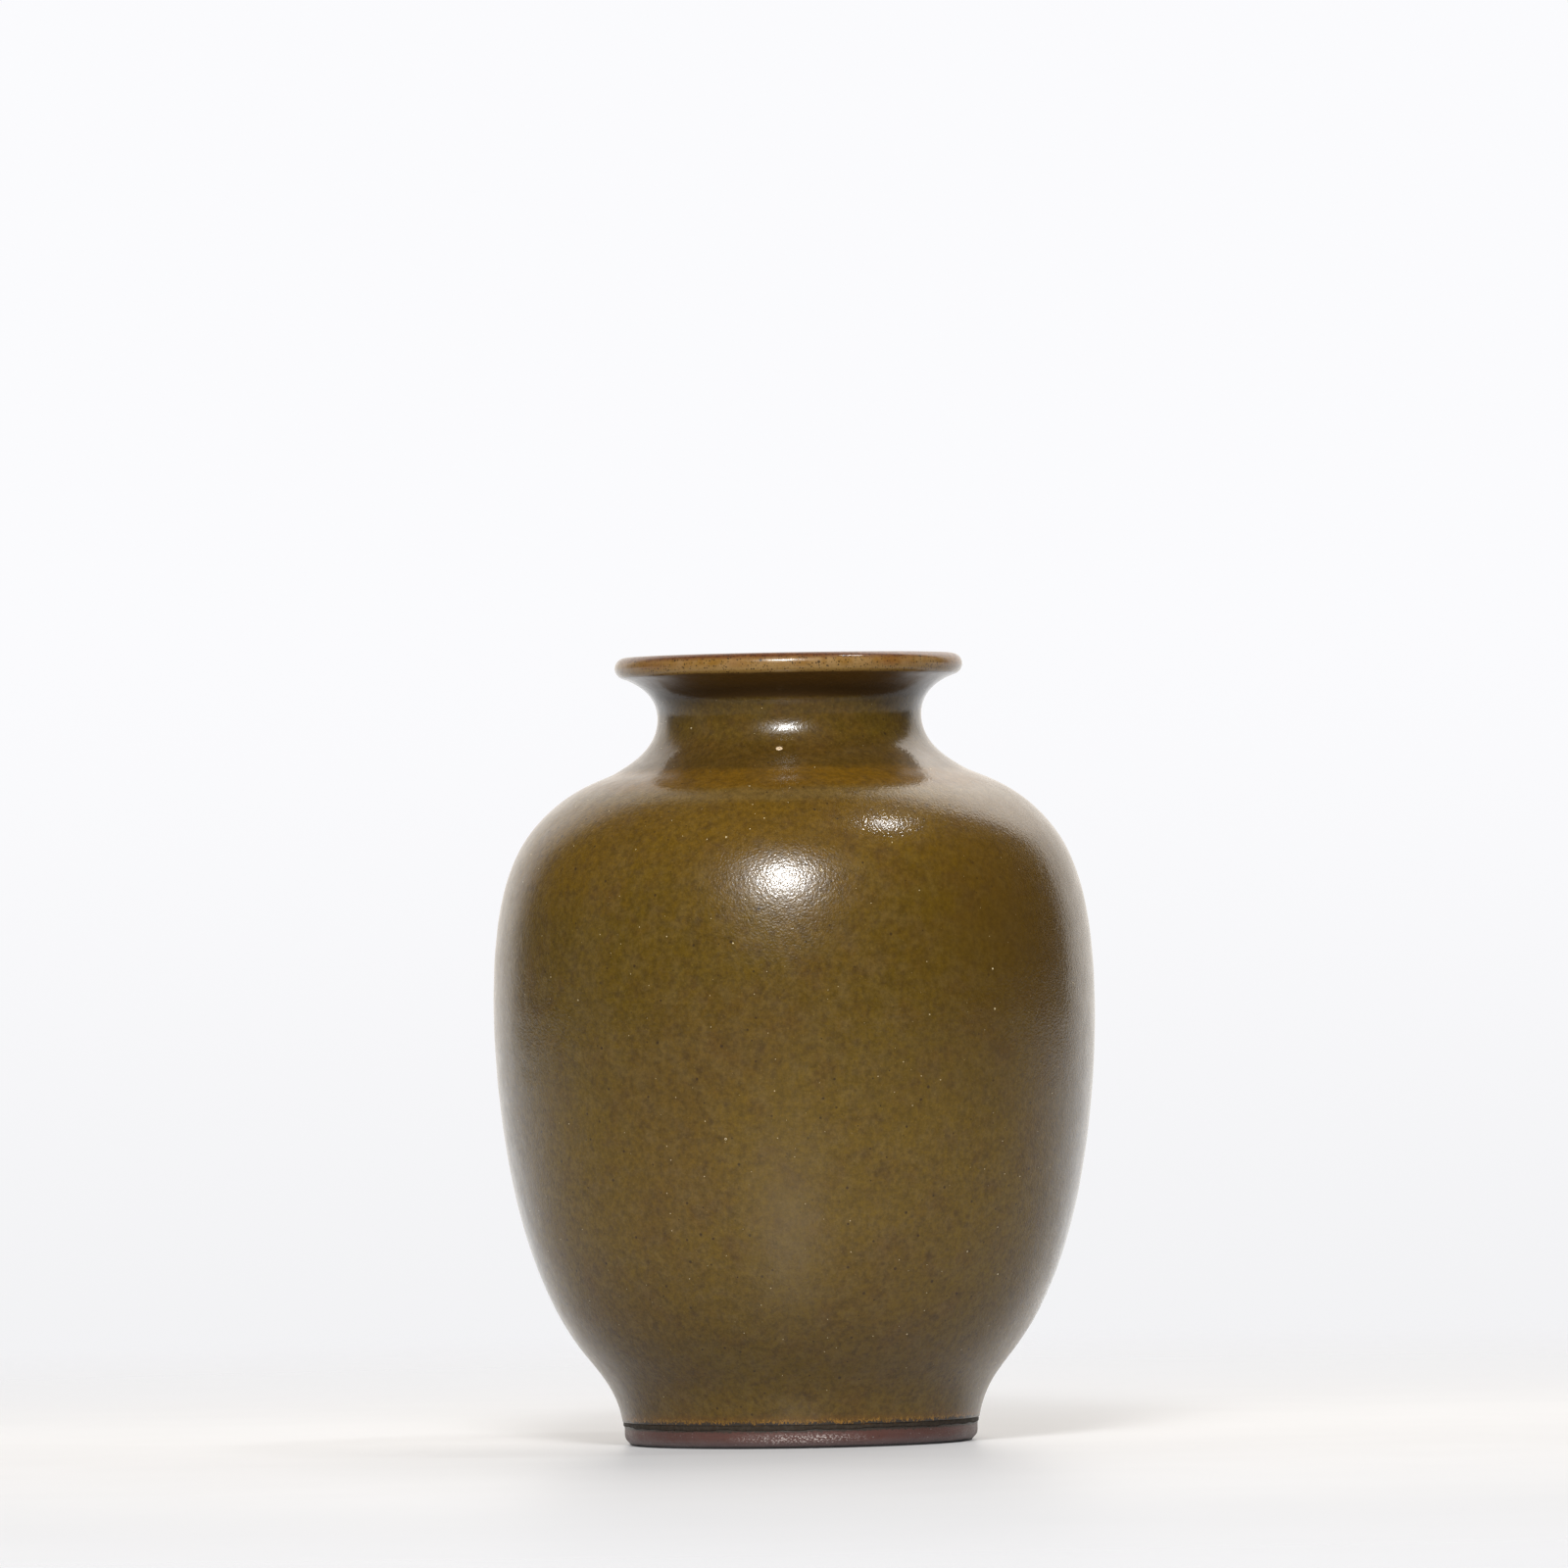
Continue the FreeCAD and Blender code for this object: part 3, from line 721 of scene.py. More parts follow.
# Layers of spots: colour and strength, then the spots as above
YELLOW_DUST = (DUST_YELLOW, 0.34, 0.9 * MM, 0.20 * MM, 0.5, 0.3, 0.5)
SMUDGES = (BLOTCH, 0.40, 4.2 * MM, 1.15 * MM, 0.8, 0.7, 0.15)
IRON_SPECKS = (IRON_DARK, 0.74, 2.3 * MM, 0.40 * MM, 0.6, 1.1, 0.55)
IRON_DOTS = (IRON_DARK, 0.85, 2.9 * MM, 0.19 * MM, 0.6, 2.3, 0.7)
CRUMBS = (CREAM, 1.0, 1.7 * MM, 0.115 * MM, 0.55, 1.5, 0.8)
LIP_SPECKS = (IRON_DARK, 0.90, 0.46 * MM, 0.23 * MM, 0.72, 4.3, 0.5)
LIP_GRAINS = (IRON_DARK, 0.85, 1.6 * MM, 0.40 * MM, 0.6, 4.9, 0.6)
EDGE_SPOTS = (FOOT_CLAY_DARK, 1.0, 0.5 * MM, 0.16 * MM, 0.5, 5.1, 0.5)
FOOT_GRIT = (FOOT_CLAY_DARK, 0.6, 0.6 * MM, 0.2 * MM, 0.5, 6.7, 0.5)
CLAY_SPOTS = (FOOT_CLAY_DARK, 1.0, 1.1 * MM, 0.25 * MM, 0.4, 8.3, 0.5)

# Patches: size, detail and roughness of the noise, the levels between which a patch grows, and for some the
# shift of the noise and its stretch
VEIL = (3.2 * MM, 5, 0.65, 0.40, 0.72, (0.6, 0.3, 0.1))
MOTTLE = (1.1 * MM, 5, 0.7, 0.25, 0.75)
FLECKS = (0.42 * MM, 3, 0.5, 0.42, 0.58, (0.9, 0.3, 0), (1, 1, 0.4))
BREAKS = (4 * MM, 3, 0.5, 0.36, 0.58, (0.3, 0.9, 0))
DULL_PATCHES = (5 * MM, 5, 0.7, 0.3, 0.7)
RIM_PATCHES = (1.3 * MM, 4, 0.65, 0.40, 0.72)
LIP_BROAD = (16 * MM, 2, 0.5, 0.42, 0.60, (0.033, 0, 0))
LIP_PATCHES = (2.5 * MM, 4, 0.6, 0.35, 0.7)
RUSTY_PATCHES = (1.6 * MM, 4, 0.6, 0.5, 0.75)
FOOT_PATCHES = (5 * MM, 4, 0.6, 0.35, 0.7)
# Painted highlight: streaks of glints on the foot's front
GLINT_STREAKS = (0.22 * MM, 2, 0.5, 0.53, 0.62, (0.4, 0.1, 0), (0.5, 0.5, 1))
CLAY_GRAINS = (1.2 * MM, 5, 0.7, 0.3, 0.7)

# Layers of patches: colour and strength, then the patches as above
DRIFT = (BROWN, 0.35, 38 * MM, 2, 0.5, 0.40, 0.66, (0.2, 0.1, 0.4))
CLOUDS = (BROWN, 0.62, 6 * MM, 4, 0.6, 0.45, 0.75)
BLOTCHES = (BLOTCH, 0.40, 2.4 * MM, 4, 0.6, 0.50, 0.72)
GRAIN = (HAZE, 0.16, 0.45 * MM, 3, 0.7, 0.42, 0.72)
THIN_BASE = (BROWN, 0.5, 6 * MM, 4, 0.5, 0.35, 0.7)
RIM_MOTTLE = (LIP_RED_BROWN, 0.40, 0.5 * MM, 4, 0.7, 0.45, 0.75)
ASHY = (EDGE_ASHY, 0.7, 0.9 * MM, 4, 0.65, 0.42, 0.68)

# Sways of a height: size, detail and roughness of the noise, and how far it lifts
BROAD_SWAY = (30 * MM, 2, 0.5, 30 * MM)
NECK_SWAY = (7 * MM, 3, 0.5, 1.6 * MM)
INNER_SWAY = (2 * MM, 3, 0.5, 1.6 * MM)
LIP_SWAY = (1.6 * MM, 4, 0.65, 0.8 * MM)
LIP_LINE_SWAY = (6 * MM, 2, 0.5, 0.5 * MM)
DUSTY_SWAY = (1.5 * MM, 3, 0.5, 1.2 * MM)
# The wandering upper edge of the painted contact shade at the foot
CONTACT_SHADE_SWAY = (2 * MM, 3, 0.5, 0.20 * MM)
SMOKE_SWAY = (0.6 * MM, 3, 0.6, 1.3 * MM)

# Bumps: noise and depth
WAVES = (3.2 * MM, 2)
WAVE_DEPTH = 0.04 * MM
PEEL = (0.45 * MM, 1, 0.5)
PEEL_DEPTH = 0.050 * MM
PEEL_LOSS = 0.35
PEEL_LOSS_BAND = (122 * MM, 130 * MM)
PIT_DEPTH = 0.08 * MM
BASE_ROUGHER = 1.4
LIP_WAVES = (0.7 * MM, 3)
LIP_WAVE_DEPTH = 0.035 * MM
EDGE_GRAIN = (0.5 * MM, 3)
EDGE_GRAIN_DEPTH = 0.05 * MM
TURNED_LINES = (0.35 * MM, 3, 0.7, (0, 0, 0), (0.04, 0.04, 1))
TURNED_LINE_DEPTH = 0.03 * MM
FOOT_GRAIN = (0.32 * MM, 3, 0.7)
FOOT_GRAIN_DEPTH = 0.11 * MM
CLAY_GRAIN_DEPTH = 0.05 * MM

# Bands of the main coat, from the foot up: where each starts, where it is complete, and its colour
BODY_BANDS = [(32 * MM, 54 * MM, LOW_OLIVE), (64 * MM, 100 * MM, OLIVE), (108 * MM, 134 * MM, GOLDEN)]
NECK_BANDS = [
    (124.0 * MM, 126.5 * MM, JUNCTION_GOLD), (128.2 * MM, 129.7 * MM, NECK_DARK),
    (132.5 * MM, 136.0 * MM, NECK_OLIVE),
]
UNDER_LIP_BANDS = [(141.3 * MM, 142.1 * MM, UNDER_LIP_DARK), (142.8 * MM, 145.6 * MM, UNDER_LIP)]
VEIL_BAND = (138 * MM, 108 * MM)
VEIL_LOW = 0.22
VEIL_HIGH = 0.08
# Painted reflection: a pale band just below the neck, where the shoulder mirrors the light overhead
REFLECTION_BAND_START = (122.0 * MM, 123.6 * MM)
REFLECTION_BAND_END = (125.8 * MM, 124.6 * MM)
REFLECTION_BAND_STRENGTH = 0.40
MOTTLE_SPREAD = 0.58
MOTTLE_DARK = 0.64

# Patches by centre and radii: paler on the lower front, darker and browner on the upper right, and painted
# glints (highlights) on the foot's front
PALE_FRONT = ((-2 * MM, -45 * MM, 50 * MM), (13 * MM, 20 * MM, 34 * MM))
PALE_STRENGTH = 0.55
BROWN_SIDE = ((44 * MM, -34 * MM, 95 * MM), (42 * MM, 50 * MM, 46 * MM))
BROWN_STRENGTH = 0.60
GLINTING_FRONT = ((-0.5 * MM, -33 * MM, 1.9 * MM), (17 * MM, 8 * MM, 1.3 * MM))


def tea_dust_colour(look):
    """The olive-brown of the glaze: golden above, with drifts, mottling, yellow dust and iron specks, and a
    pale band under the neck that is a painted reflection.
    """
    up = look.swaying(*BROAD_SWAY)
    wavy = look.swaying(*NECK_SWAY)
    colour = look.banded(FOOT_OLIVE, up, BODY_BANDS)
    colour = look.banded(colour, wavy, NECK_BANDS)
    colour = look.patched(colour, DRIFT, CLOUDS)
    hazy = look.scaled(look.steps(up, *VEIL_BAND), VEIL_LOW, VEIL_HIGH)
    colour = look.mix(look.math("MULTIPLY", look.patches(*VEIL), hazy), colour, HAZE)
    # Painted reflection: a pale band below the neck
    painted_reflection_band = look.math("MULTIPLY", look.steps(wavy, *REFLECTION_BAND_START), look.steps(wavy, *REFLECTION_BAND_END))
    colour = look.over(colour, HAZE, painted_reflection_band, REFLECTION_BAND_STRENGTH)
    colour = look.patched(colour, BLOTCHES)
    shade = look.scaled(look.patches(*MOTTLE), MOTTLE_SPREAD, MOTTLE_DARK)
    colour = look.mix(1.0, colour, grey_of(look, shade), blend="MULTIPLY")
    colour = look.patched(colour, GRAIN)
    return look.spotted(colour, YELLOW_DUST, SMUDGES, IRON_SPECKS, IRON_DOTS, CRUMBS)


def grey_of(look, level):
    """A grey as bright as a number says."""
    sockets = {part: level for part in ("Red", "Green", "Blue")}
    return look.add("ShaderNodeCombineColor", sockets).outputs["Color"]


def glaze_surface(look, pits, depth=1.0):
    """Orange peel, fine ripples and pinholes; pits is where the pinholes are."""
    normal = look.bump(look.noise(*WAVES), WAVE_DEPTH * depth)
    peel = PEEL_DEPTH * depth
    smoother = look.scaled(look.steps(look.height, *PEEL_LOSS_BAND), -PEEL_LOSS * peel, peel)
    normal = look.bump(look.noise(*PEEL), smoother, normal)
    return look.bump(look.math("SUBTRACT", 1.0, pits), PIT_DEPTH, normal)


def uneven_roughness(look, low, high):
    """How dull a surface is from place to place."""
    return look.scaled(look.patches(*DULL_PATCHES), high - low, low)


# The fringe over the dark lower edge of the main coat: the runs of the glaze, and the bands that they sway
FINE_RUNS = (0.30 * MM, 3, 0.7, (0.5, 0.2, 0), (1, 1, 0.35))
FINE_RUN = 2.8 * MM
BROAD_RUNS = (2.6 * MM, 2, 0.5, (0.1, 0.7, 0), (1, 1, 0.4))
BROAD_RUN = 1.0 * MM
FRINGE = EDGE_TOP - 1.9 * MM
RUST_BAND = (FRINGE + 2.2 * MM, FRINGE + 0.9 * MM)
RUST_STRENGTH = 0.35
AMBER_BAND = (FRINGE + 1.1 * MM, FRINGE + 0.5 * MM)
AMBER_STRENGTH = 0.95
AMBER_BREAK = 0.50
DARK_BAND = (FRINGE + 0.55 * MM, FRINGE + 0.25 * MM)


def fringed(look, colour):
    """The main coat's lower end: rust, flecks of amber and the dark line."""
    up = look.scaled(look.noise(*BROAD_RUNS), -BROAD_RUN, look.height)
    up = look.scaled(look.noise(*FINE_RUNS), -FINE_RUN, up)
    colour = look.over(colour, RUST, look.steps(up, *RUST_BAND), RUST_STRENGTH)
    breaks = look.scaled(look.patches(*BREAKS), AMBER_BREAK, 1 - AMBER_BREAK)
    flecks = look.math("MULTIPLY", look.patches(*FLECKS), breaks)
    amber = look.math("MULTIPLY", look.steps(up, *AMBER_BAND), flecks)
    colour = look.over(colour, AMBER, amber, AMBER_STRENGTH)
    return look.mix(look.steps(up, *DARK_BAND), colour, EDGE_DARK)


def outer_glaze_look():
    """The main coat: tea dust, with an amber fringe over its dark lower edge and brown under the lip."""
    look = Look("tea_dust_glaze")
    colour = tea_dust_colour(look)
    colour = look.over(colour, PALE_BROWN, look.patch(*PALE_FRONT), PALE_STRENGTH)
    colour = look.over(colour, SIDE_BROWN, look.patch(*BROWN_SIDE), BROWN_STRENGTH)
    colour = fringed(look, colour)
    colour = look.banded(colour, look.height, UNDER_LIP_BANDS)
    pits = look.spots(*PITS)
    colour = look.mix(look.spots(*PIT_RIMS), colour, CREAM)
    colour = look.mix(pits, colour, IRON_DARK)
    rough = uneven_roughness(look, *OUTER_DULLNESS)
    return look.finish(colour, rough, glaze_surface(look, pits), OUTER_SHEEN)


# The bead's dimple and grain
DIMPLE_RADIUS = 0.36 * MM
BEAD_GRAIN = (0.2 * MM, 3)
BEAD_GRAIN_LEVELS = (0.4, 0.8)
BEAD_GRAIN_STRENGTH = 0.4
BEAD_GRAIN_DEPTH = 0.02 * MM


def bead_look():
    """Pale slip with a browner dimple."""
    look = Look("slip_bead")
    line = outside_lines(0)[1]
    reach_out = float(np.interp(BEAD_HEIGHT, line[:, 1], line[:, 0]))
    centre = (reach_out * math.sin(BEAD_TURN), -reach_out * math.cos(BEAD_TURN), BEAD_HEIGHT)
    colour = look.mix(look.patch(centre, (DIMPLE_RADIUS,) * 3), BEAD_PALE, BEAD_TAN)
    grain = look.noise(*BEAD_GRAIN)
    colour = look.over(colour, BEAD_TAN, look.steps(grain, *BEAD_GRAIN_LEVELS), BEAD_GRAIN_STRENGTH)
    return look.finish(colour, BEAD_DULLNESS, look.bump(grain, BEAD_GRAIN_DEPTH), BEAD_SHEEN)


# Bands near the mouth, down from the lip's top or up from its underside
THIN_BAND = (MOUTH_HEIGHT - 3.4 * MM, MOUTH_HEIGHT - 1.2 * MM)
INNER_RIM_BAND = (MOUTH_HEIGHT - 6.5 * MM, MOUTH_HEIGHT - 2.5 * MM)
INNER_RIM_DROP = 0.3 * MM
RIM_BAND = (MOUTH_HEIGHT - 1.05 * MM, MOUTH_HEIGHT - 0.10 * MM)
RIM_RED_SHARE = 0.55
LIP_UNDERSIDE = ROLL_CENTRE[1] - ROLL
LIP_LOW_BAND = (LIP_UNDERSIDE + 2.5 * MM, LIP_UNDERSIDE + 1.2 * MM)
LIP_LINE = (LIP_UNDERSIDE + 0.75 * MM, LIP_UNDERSIDE + 0.45 * MM)
LIP_OCHRE_SHARE = 0.4


def inner_glaze_look():
    """The coat inside, the same glaze, thin and browner towards the lip."""
    look = Look("inner_glaze")
    glaze = tea_dust_colour(look)
    up = look.swaying(*INNER_SWAY)
    thin = look.mix(look.steps(up, *THIN_BAND), UNDER_LIP, LIP_OCHRE)
    rim = rim_colour(look, thin, look.scaled(up, 1.0, -INNER_RIM_DROP))
    colour = look.mix(look.steps(up, *INNER_RIM_BAND), glaze, rim)
    rough = uneven_roughness(look, *INNER_DULLNESS)
    return look.finish(colour, rough, glaze_surface(look, look.spots(*INNER_PITS)), INNER_SHEEN)


def base_glaze_look():
    """The coat in the recess, the same glaze, thin and dull, browner in patches."""
    look = Look("base_glaze")
    colour = look.patched(tea_dust_colour(look), THIN_BASE)
    pits = look.spots(*BASE_PITS)
    colour = look.mix(pits, colour, IRON_DARK)
    rough = uneven_roughness(look, *BASE_DULLNESS)
    return look.finish(colour, rough, glaze_surface(look, pits, BASE_ROUGHER), BASE_SHEEN)


def rim_colour(look, colour, up):
    """The red-brown of the coats where they thin over the lip's top, mottled and specked with iron."""
    red = look.over(LIP_RED_BROWN, LIP_ORANGE, look.patches(*RIM_PATCHES), RIM_RED_SHARE)
    colour = look.mix(look.steps(up, *RIM_BAND), colour, red)
    colour = look.patched(colour, RIM_MOTTLE)
    return look.spotted(colour, LIP_SPECKS, LIP_GRAINS)


def lip_glaze_look():
    """Thin tan glaze with iron specks, ochre at its lower line, redder and darker over the top."""
    look = Look("lip_glaze")
    up = look.swaying(*LIP_SWAY)
    patches = look.patches(*LIP_PATCHES)
    tan = look.mix(patches, LIP_TAN, LIP_OCHRE)
    orange = look.over(LIP_ORANGE, LIP_OCHRE, patches, LIP_OCHRE_SHARE)
    colour = look.mix(look.patches(*LIP_BROAD), tan, orange)
    colour = look.mix(look.steps(up, *LIP_LOW_BAND), colour, LIP_LOW)
    colour = rim_colour(look, colour, up)
    colour = look.mix(look.steps(look.swaying(*LIP_LINE_SWAY), *LIP_LINE), colour, UNDER_LIP)
    normal = look.bump(look.noise(*LIP_WAVES), LIP_WAVE_DEPTH)
    return look.finish(colour, uneven_roughness(look, *LIP_DULLNESS), normal, LIP_SHEEN)


# Bands of the dark edge and of the foot ring: how far a colour reaches
EDGE_THIN_BAND = (EDGE_TOP - 0.3 * MM, EDGE_TOP)
REDDENED_BAND = (EDGE_LOW - 1.6 * MM, EDGE_LOW)
REDDENED_STRENGTH = 0.6
DUSTY_BAND = (2.6 * MM, 1.3 * MM)
LINE_LEVELS = (0.45, 0.75)
LINE_STRENGTH = 0.35
# Painted contact shade: how high above the resting face the shade under the foot's bevel reaches
CONTACT_SHADE_BAND = (0.72 * MM, 0.50 * MM)
RESTING_FACE_BAND = (0.02 * MM, 0.08 * MM)
SMOKED_BAND = (EDGE_LOW + 0.20 * MM, EDGE_LOW + 0.62 * MM)


def glaze_edge_look():
    """The dark edge where the glaze pooled, ashy in patches and rusty where it thins towards the top."""
    look = Look("glaze_edge")
    colour = look.patched(EDGE_DARK, ASHY)
    thin = look.math("MULTIPLY", look.patches(*RUSTY_PATCHES), look.steps(look.height, *EDGE_THIN_BAND))
    colour = look.spotted(look.mix(thin, colour, RUST), EDGE_SPOTS)
    normal = look.bump(look.noise(*EDGE_GRAIN), EDGE_GRAIN_DEPTH)
    return look.finish(colour, uneven_roughness(look, *EDGE_DULLNESS), normal, EDGE_SHEEN)


def bare_foot_look():
    """Unglazed purplish-brown stoneware with turning lines, pores, grit with painted glints as highlights,
    and painted contact shade along the resting line.
    """
    look = Look("bare_foot")
    colour = look.mix(look.patches(*FOOT_PATCHES), FOOT_CLAY, FOOT_CLAY_RED)
    colour = look.over(colour, FOOT_CLAY_RED, look.steps(look.height, *REDDENED_BAND), REDDENED_STRENGTH)
    colour = look.mix(look.steps(look.swaying(*DUSTY_SWAY), *DUSTY_BAND), colour, FOOT_CLAY_GREY)
    lines = look.noise(*TURNED_LINES)
    colour = look.over(colour, FOOT_CLAY_DARK, look.steps(lines, *LINE_LEVELS), LINE_STRENGTH)
    colour = look.spotted(colour, FOOT_GRIT)
    # Painted highlights: pale glints over the whole foot, and streaks of them on the front where the key
    # light reflects
    glints = look.spots(*GLINTS)
    colour = look.over(colour, FOOT_GLINT, glints, GLINT_STRENGTH)
    painted_glint_streaks = look.math("MULTIPLY", look.patches(*GLINT_STREAKS), look.patch(*GLINTING_FRONT))
    colour = look.mix(painted_glint_streaks, colour, FOOT_GLINT)
    # Painted contact shade: the foot's bevel darkened just above the resting face, where the floor meets it
    low = look.steps(look.swaying(*CONTACT_SHADE_SWAY), *CONTACT_SHADE_BAND)
    contact_shade = look.math("MULTIPLY", low, look.steps(look.height, *RESTING_FACE_BAND))
    colour = look.mix(contact_shade, colour, FOOT_CONTACT_SHADE)
    colour = look.mix(look.steps(look.swaying(*SMOKE_SWAY), *SMOKED_BAND), colour, EDGE_DARK)
    normal = look.bump(lines, TURNED_LINE_DEPTH)
    normal = look.bump(look.noise(*FOOT_GRAIN), FOOT_GRAIN_DEPTH, normal)
    rough = look.scaled(glints, -GLINT_POLISH, uneven_roughness(look, *FOOT_DULLNESS))
    return look.finish(colour, rough, normal, CLAY_SHEEN)


def stoneware_look():
    """The fired clay of the wall, which the coats hide."""
    look = Look("stoneware_body")
    grain = look.patches(*CLAY_GRAINS)
    colour = look.spotted(look.mix(grain, BODY_CLAY, FOOT_CLAY), CLAY_SPOTS)
    return look.finish(colour, CLAY_DULLNESS, look.bump(grain, CLAY_GRAIN_DEPTH), CLAY_SHEEN)


def dress(piece, material, node):
    """Put a turned piece in the place of its CAD node, on the vase's one body."""
    piece.data.materials.append(material)
    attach(piece, "root")
    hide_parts(node)
    return piece


dress(make_outer_glaze(), outer_glaze_look(), "outer_glaze")
dress(make_lip_glaze(), lip_glaze_look(), "lip_glaze")
dress(make_glaze_edge(), glaze_edge_look(), "glaze_edge")
dress(make_inner_glaze(), inner_glaze_look(), "inner_glaze")
dress(make_base_glaze(), base_glaze_look(), "base_glaze")
dress(make_foot_ring(), bare_foot_look(), "foot_ring")

bead = make_bead()
bead.data.materials.append(bead_look())
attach(bead, "root")

clay = stoneware_look()
for section in ("lower_body", "upper_body", "neck", "lip_ring"):
    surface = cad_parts[section].data.materials
    surface.clear()
    surface.append(clay)

# The studio: a pale round floor that fades into the pale surroundings
FLOOR_RADIUS = 0.9
FLOOR_FADE_START = 0.25
FLOOR_FADE_END = 0.75
REFLECTED_FADE = (0.12, 0.36)
FOOT_OPEN_RADIUS = FOOT_RADIUS - FOOT_BEVEL
FLOOR_COLOUR = (0.90, 0.90, 0.905)
# Painted shade: the floor's front darker than its back, in what the camera sees, what the vase reflects and
# the plain share
FLOOR_SHADED_FRONT = (0.735, 0.735, 0.745)
FLOOR_ROUGHNESS = 0.38
FLOOR_REFLECTED = (0.55, 0.55, 0.56)
FLOOR_REFLECTED_BACK = (0.98, 0.98, 0.98)
FLOOR_PLAIN_NEAR = 0.20
FLOOR_PLAIN_FAR = 0.70
FLOOR_FRONT = (0.765, 0.765, 0.775)
BACKGROUND_LOW = (0.885, 0.885, 0.900)
BACKGROUND_HIGH = (0.965, 0.965, 0.985)
FLOOR_INNER_RING = 0.01
FLOOR_RINGS = 12
FLOOR_SEGMENTS = 96
FLOOR_GRAIN = (30 * MM, 2, 0.5, 0.3, 0.7)
FLOOR_DULL = (0.975, 0.975, 0.975)
FLOOR_DEPTH = (-0.06, 0.14)
REFLECTED_DEPTH = (-0.08, 0.12)
PLAIN_DEPTH = (-0.35, 0.15)
PLAIN_DISTANCE = (0.05, 0.40)


def make_floor():
    """A round floor whose shade dies away with distance, seen from above only."""
    rings = np.linspace(FLOOR_INNER_RING, FLOOR_RADIUS, FLOOR_RINGS)
    angle = np.linspace(0, FULL_TURN, FLOOR_SEGMENTS, endpoint=False)
    places = [(0, 0, 0)] + [(r * math.cos(a), r * math.sin(a), 0) for r in rings for a in angle]
    count = FLOOR_SEGMENTS
    faces = [(0, 1 + i, 1 + (i + 1) % count) for i in range(count)]
    for ring in range(len(rings) - 1):
        low = 1 + ring * count
        for i in range(count):
            j = (i + 1) % count
            faces.append((low + i, low + count + i, low + count + j, low + j))
    floor = placed("studio_floor", places, faces)
    floor.data.materials.append(floor_look())


def floor_look():
    """Pale paper with a slight sheen, painted darker in front as shade, which fades out towards its rim and
    is open from below.
    """
    look = Look("studio_floor")
    grain = look.patches(*FLOOR_GRAIN)
    camera_ray = look.add("ShaderNodeLightPath").outputs["Is Camera Ray"]
    depth = look.add("ShaderNodeSeparateXYZ", {"Vector": look.place}).outputs["Y"]
    # Painted shade: darker in front of the vase, for the camera and for reflected rays
    colour = look.mix(look.steps(depth, *FLOOR_DEPTH), FLOOR_SHADED_FRONT, FLOOR_COLOUR)
    colour = look.mix(grain, colour, look.mix(1.0, colour, FLOOR_DULL, blend="MULTIPLY"))
    reflected = look.mix(look.steps(depth, *REFLECTED_DEPTH), FLOOR_REFLECTED, FLOOR_REFLECTED_BACK)
    colour = look.mix(camera_ray, reflected, colour)
    paper = look.add("ShaderNodeBsdfPrincipled", {"Base Color": colour, "Roughness": FLOOR_ROUGHNESS})
    plain = look.mix(look.steps(depth, *PLAIN_DEPTH), FLOOR_FRONT, BACKGROUND_LOW)
    pale = look.add("ShaderNodeEmission", {"Color": plain, "Strength": 1.0})
    distance = look.add("ShaderNodeVectorMath", {0: look.place}, operation="LENGTH").outputs["Value"]
    far = look.steps(distance, *PLAIN_DISTANCE)
    share = look.scaled(far, FLOOR_PLAIN_FAR - FLOOR_PLAIN_NEAR, FLOOR_PLAIN_NEAR)
    shader = look.add("ShaderNodeMixShader", {
        0: look.math("MULTIPLY", camera_ray, share), 1: paper.outputs["BSDF"], 2: pale.outputs["Emission"],
    })
    seen_gone = look.steps(distance, FLOOR_FADE_START, FLOOR_FADE_END)
    reflected_gone = look.steps(distance, *REFLECTED_FADE)
    open_below = look.math("MAXIMUM", reflected_gone, look.math("LESS_THAN", distance, FOOT_OPEN_RADIUS))
    gone = look.scaled(camera_ray, look.math("SUBTRACT", seen_gone, open_below), open_below)
    below = look.add("ShaderNodeNewGeometry").outputs["Backfacing"]
    clear = look.add("ShaderNodeBsdfTransparent")
    blend = look.add("ShaderNodeMixShader", {
        0: look.math("MAXIMUM", gone, below), 1: shader.outputs["Shader"], 2: clear.outputs["BSDF"],
    })
    look.add("ShaderNodeOutputMaterial", {"Surface": blend.outputs["Shader"]})
    return look.material


# The surroundings that the glaze reflects, by azimuth from straight behind towards the right and by
# elevation: a white sweep behind, brightest at its upper right, a dim room in front, a faint panel and a
# faint ceiling. Each pair is where a step starts and where it is complete.
SWEEP_LEFT_EDGE = (-53 * DEGREE, -36.5 * DEGREE)
SWEEP_LEFT_LEAN = 10 * DEGREE
SWEEP_LEAN_HEIGHT = (30 * DEGREE, 60 * DEGREE)
SWEEP_RIGHT_EDGE = (50.5 * DEGREE, 44 * DEGREE)
SWEEP_RIGHT_LEAN = 3 * DEGREE
SWEEP_RIGHT_LEAN_HEIGHT = (25 * DEGREE, 48 * DEGREE)
SWEEP_MIDDLE = (-10 * DEGREE, 26 * DEGREE)
SWEEP_LEFT_LIGHT = 1.18
SWEEP_LEFT_TOP = (71 * DEGREE, 36 * DEGREE)
SWEEP_RIGHT_LOW = 1.22
SWEEP_RIGHT_HIGH = 2.85
SWEEP_RIGHT_RISE = (12 * DEGREE, 46 * DEGREE)
SWEEP_RIGHT_TOP = (70 * DEGREE, 50 * DEGREE)
SWEEP_TINT = (1.07, 1.01, 0.94)
UNTINTED = (1.0, 1.0, 1.0)
ROOM_LEFT = 0.08
ROOM_RIGHT = 0.03
ROOM_ACROSS = (-0.9, 0.7)
PANEL_LIGHT = 0.20
PANEL_TURN = -94 * DEGREE
PANEL_WIDTH = (10 * DEGREE, 4 * DEGREE)
PANEL_TOP = (42 * DEGREE, 34 * DEGREE)
CEILING_LIGHT = 0.17
CEILING_FRONT = (56 * DEGREE, 63 * DEGREE)
CEILING_BACK = (76 * DEGREE, 70 * DEGREE)
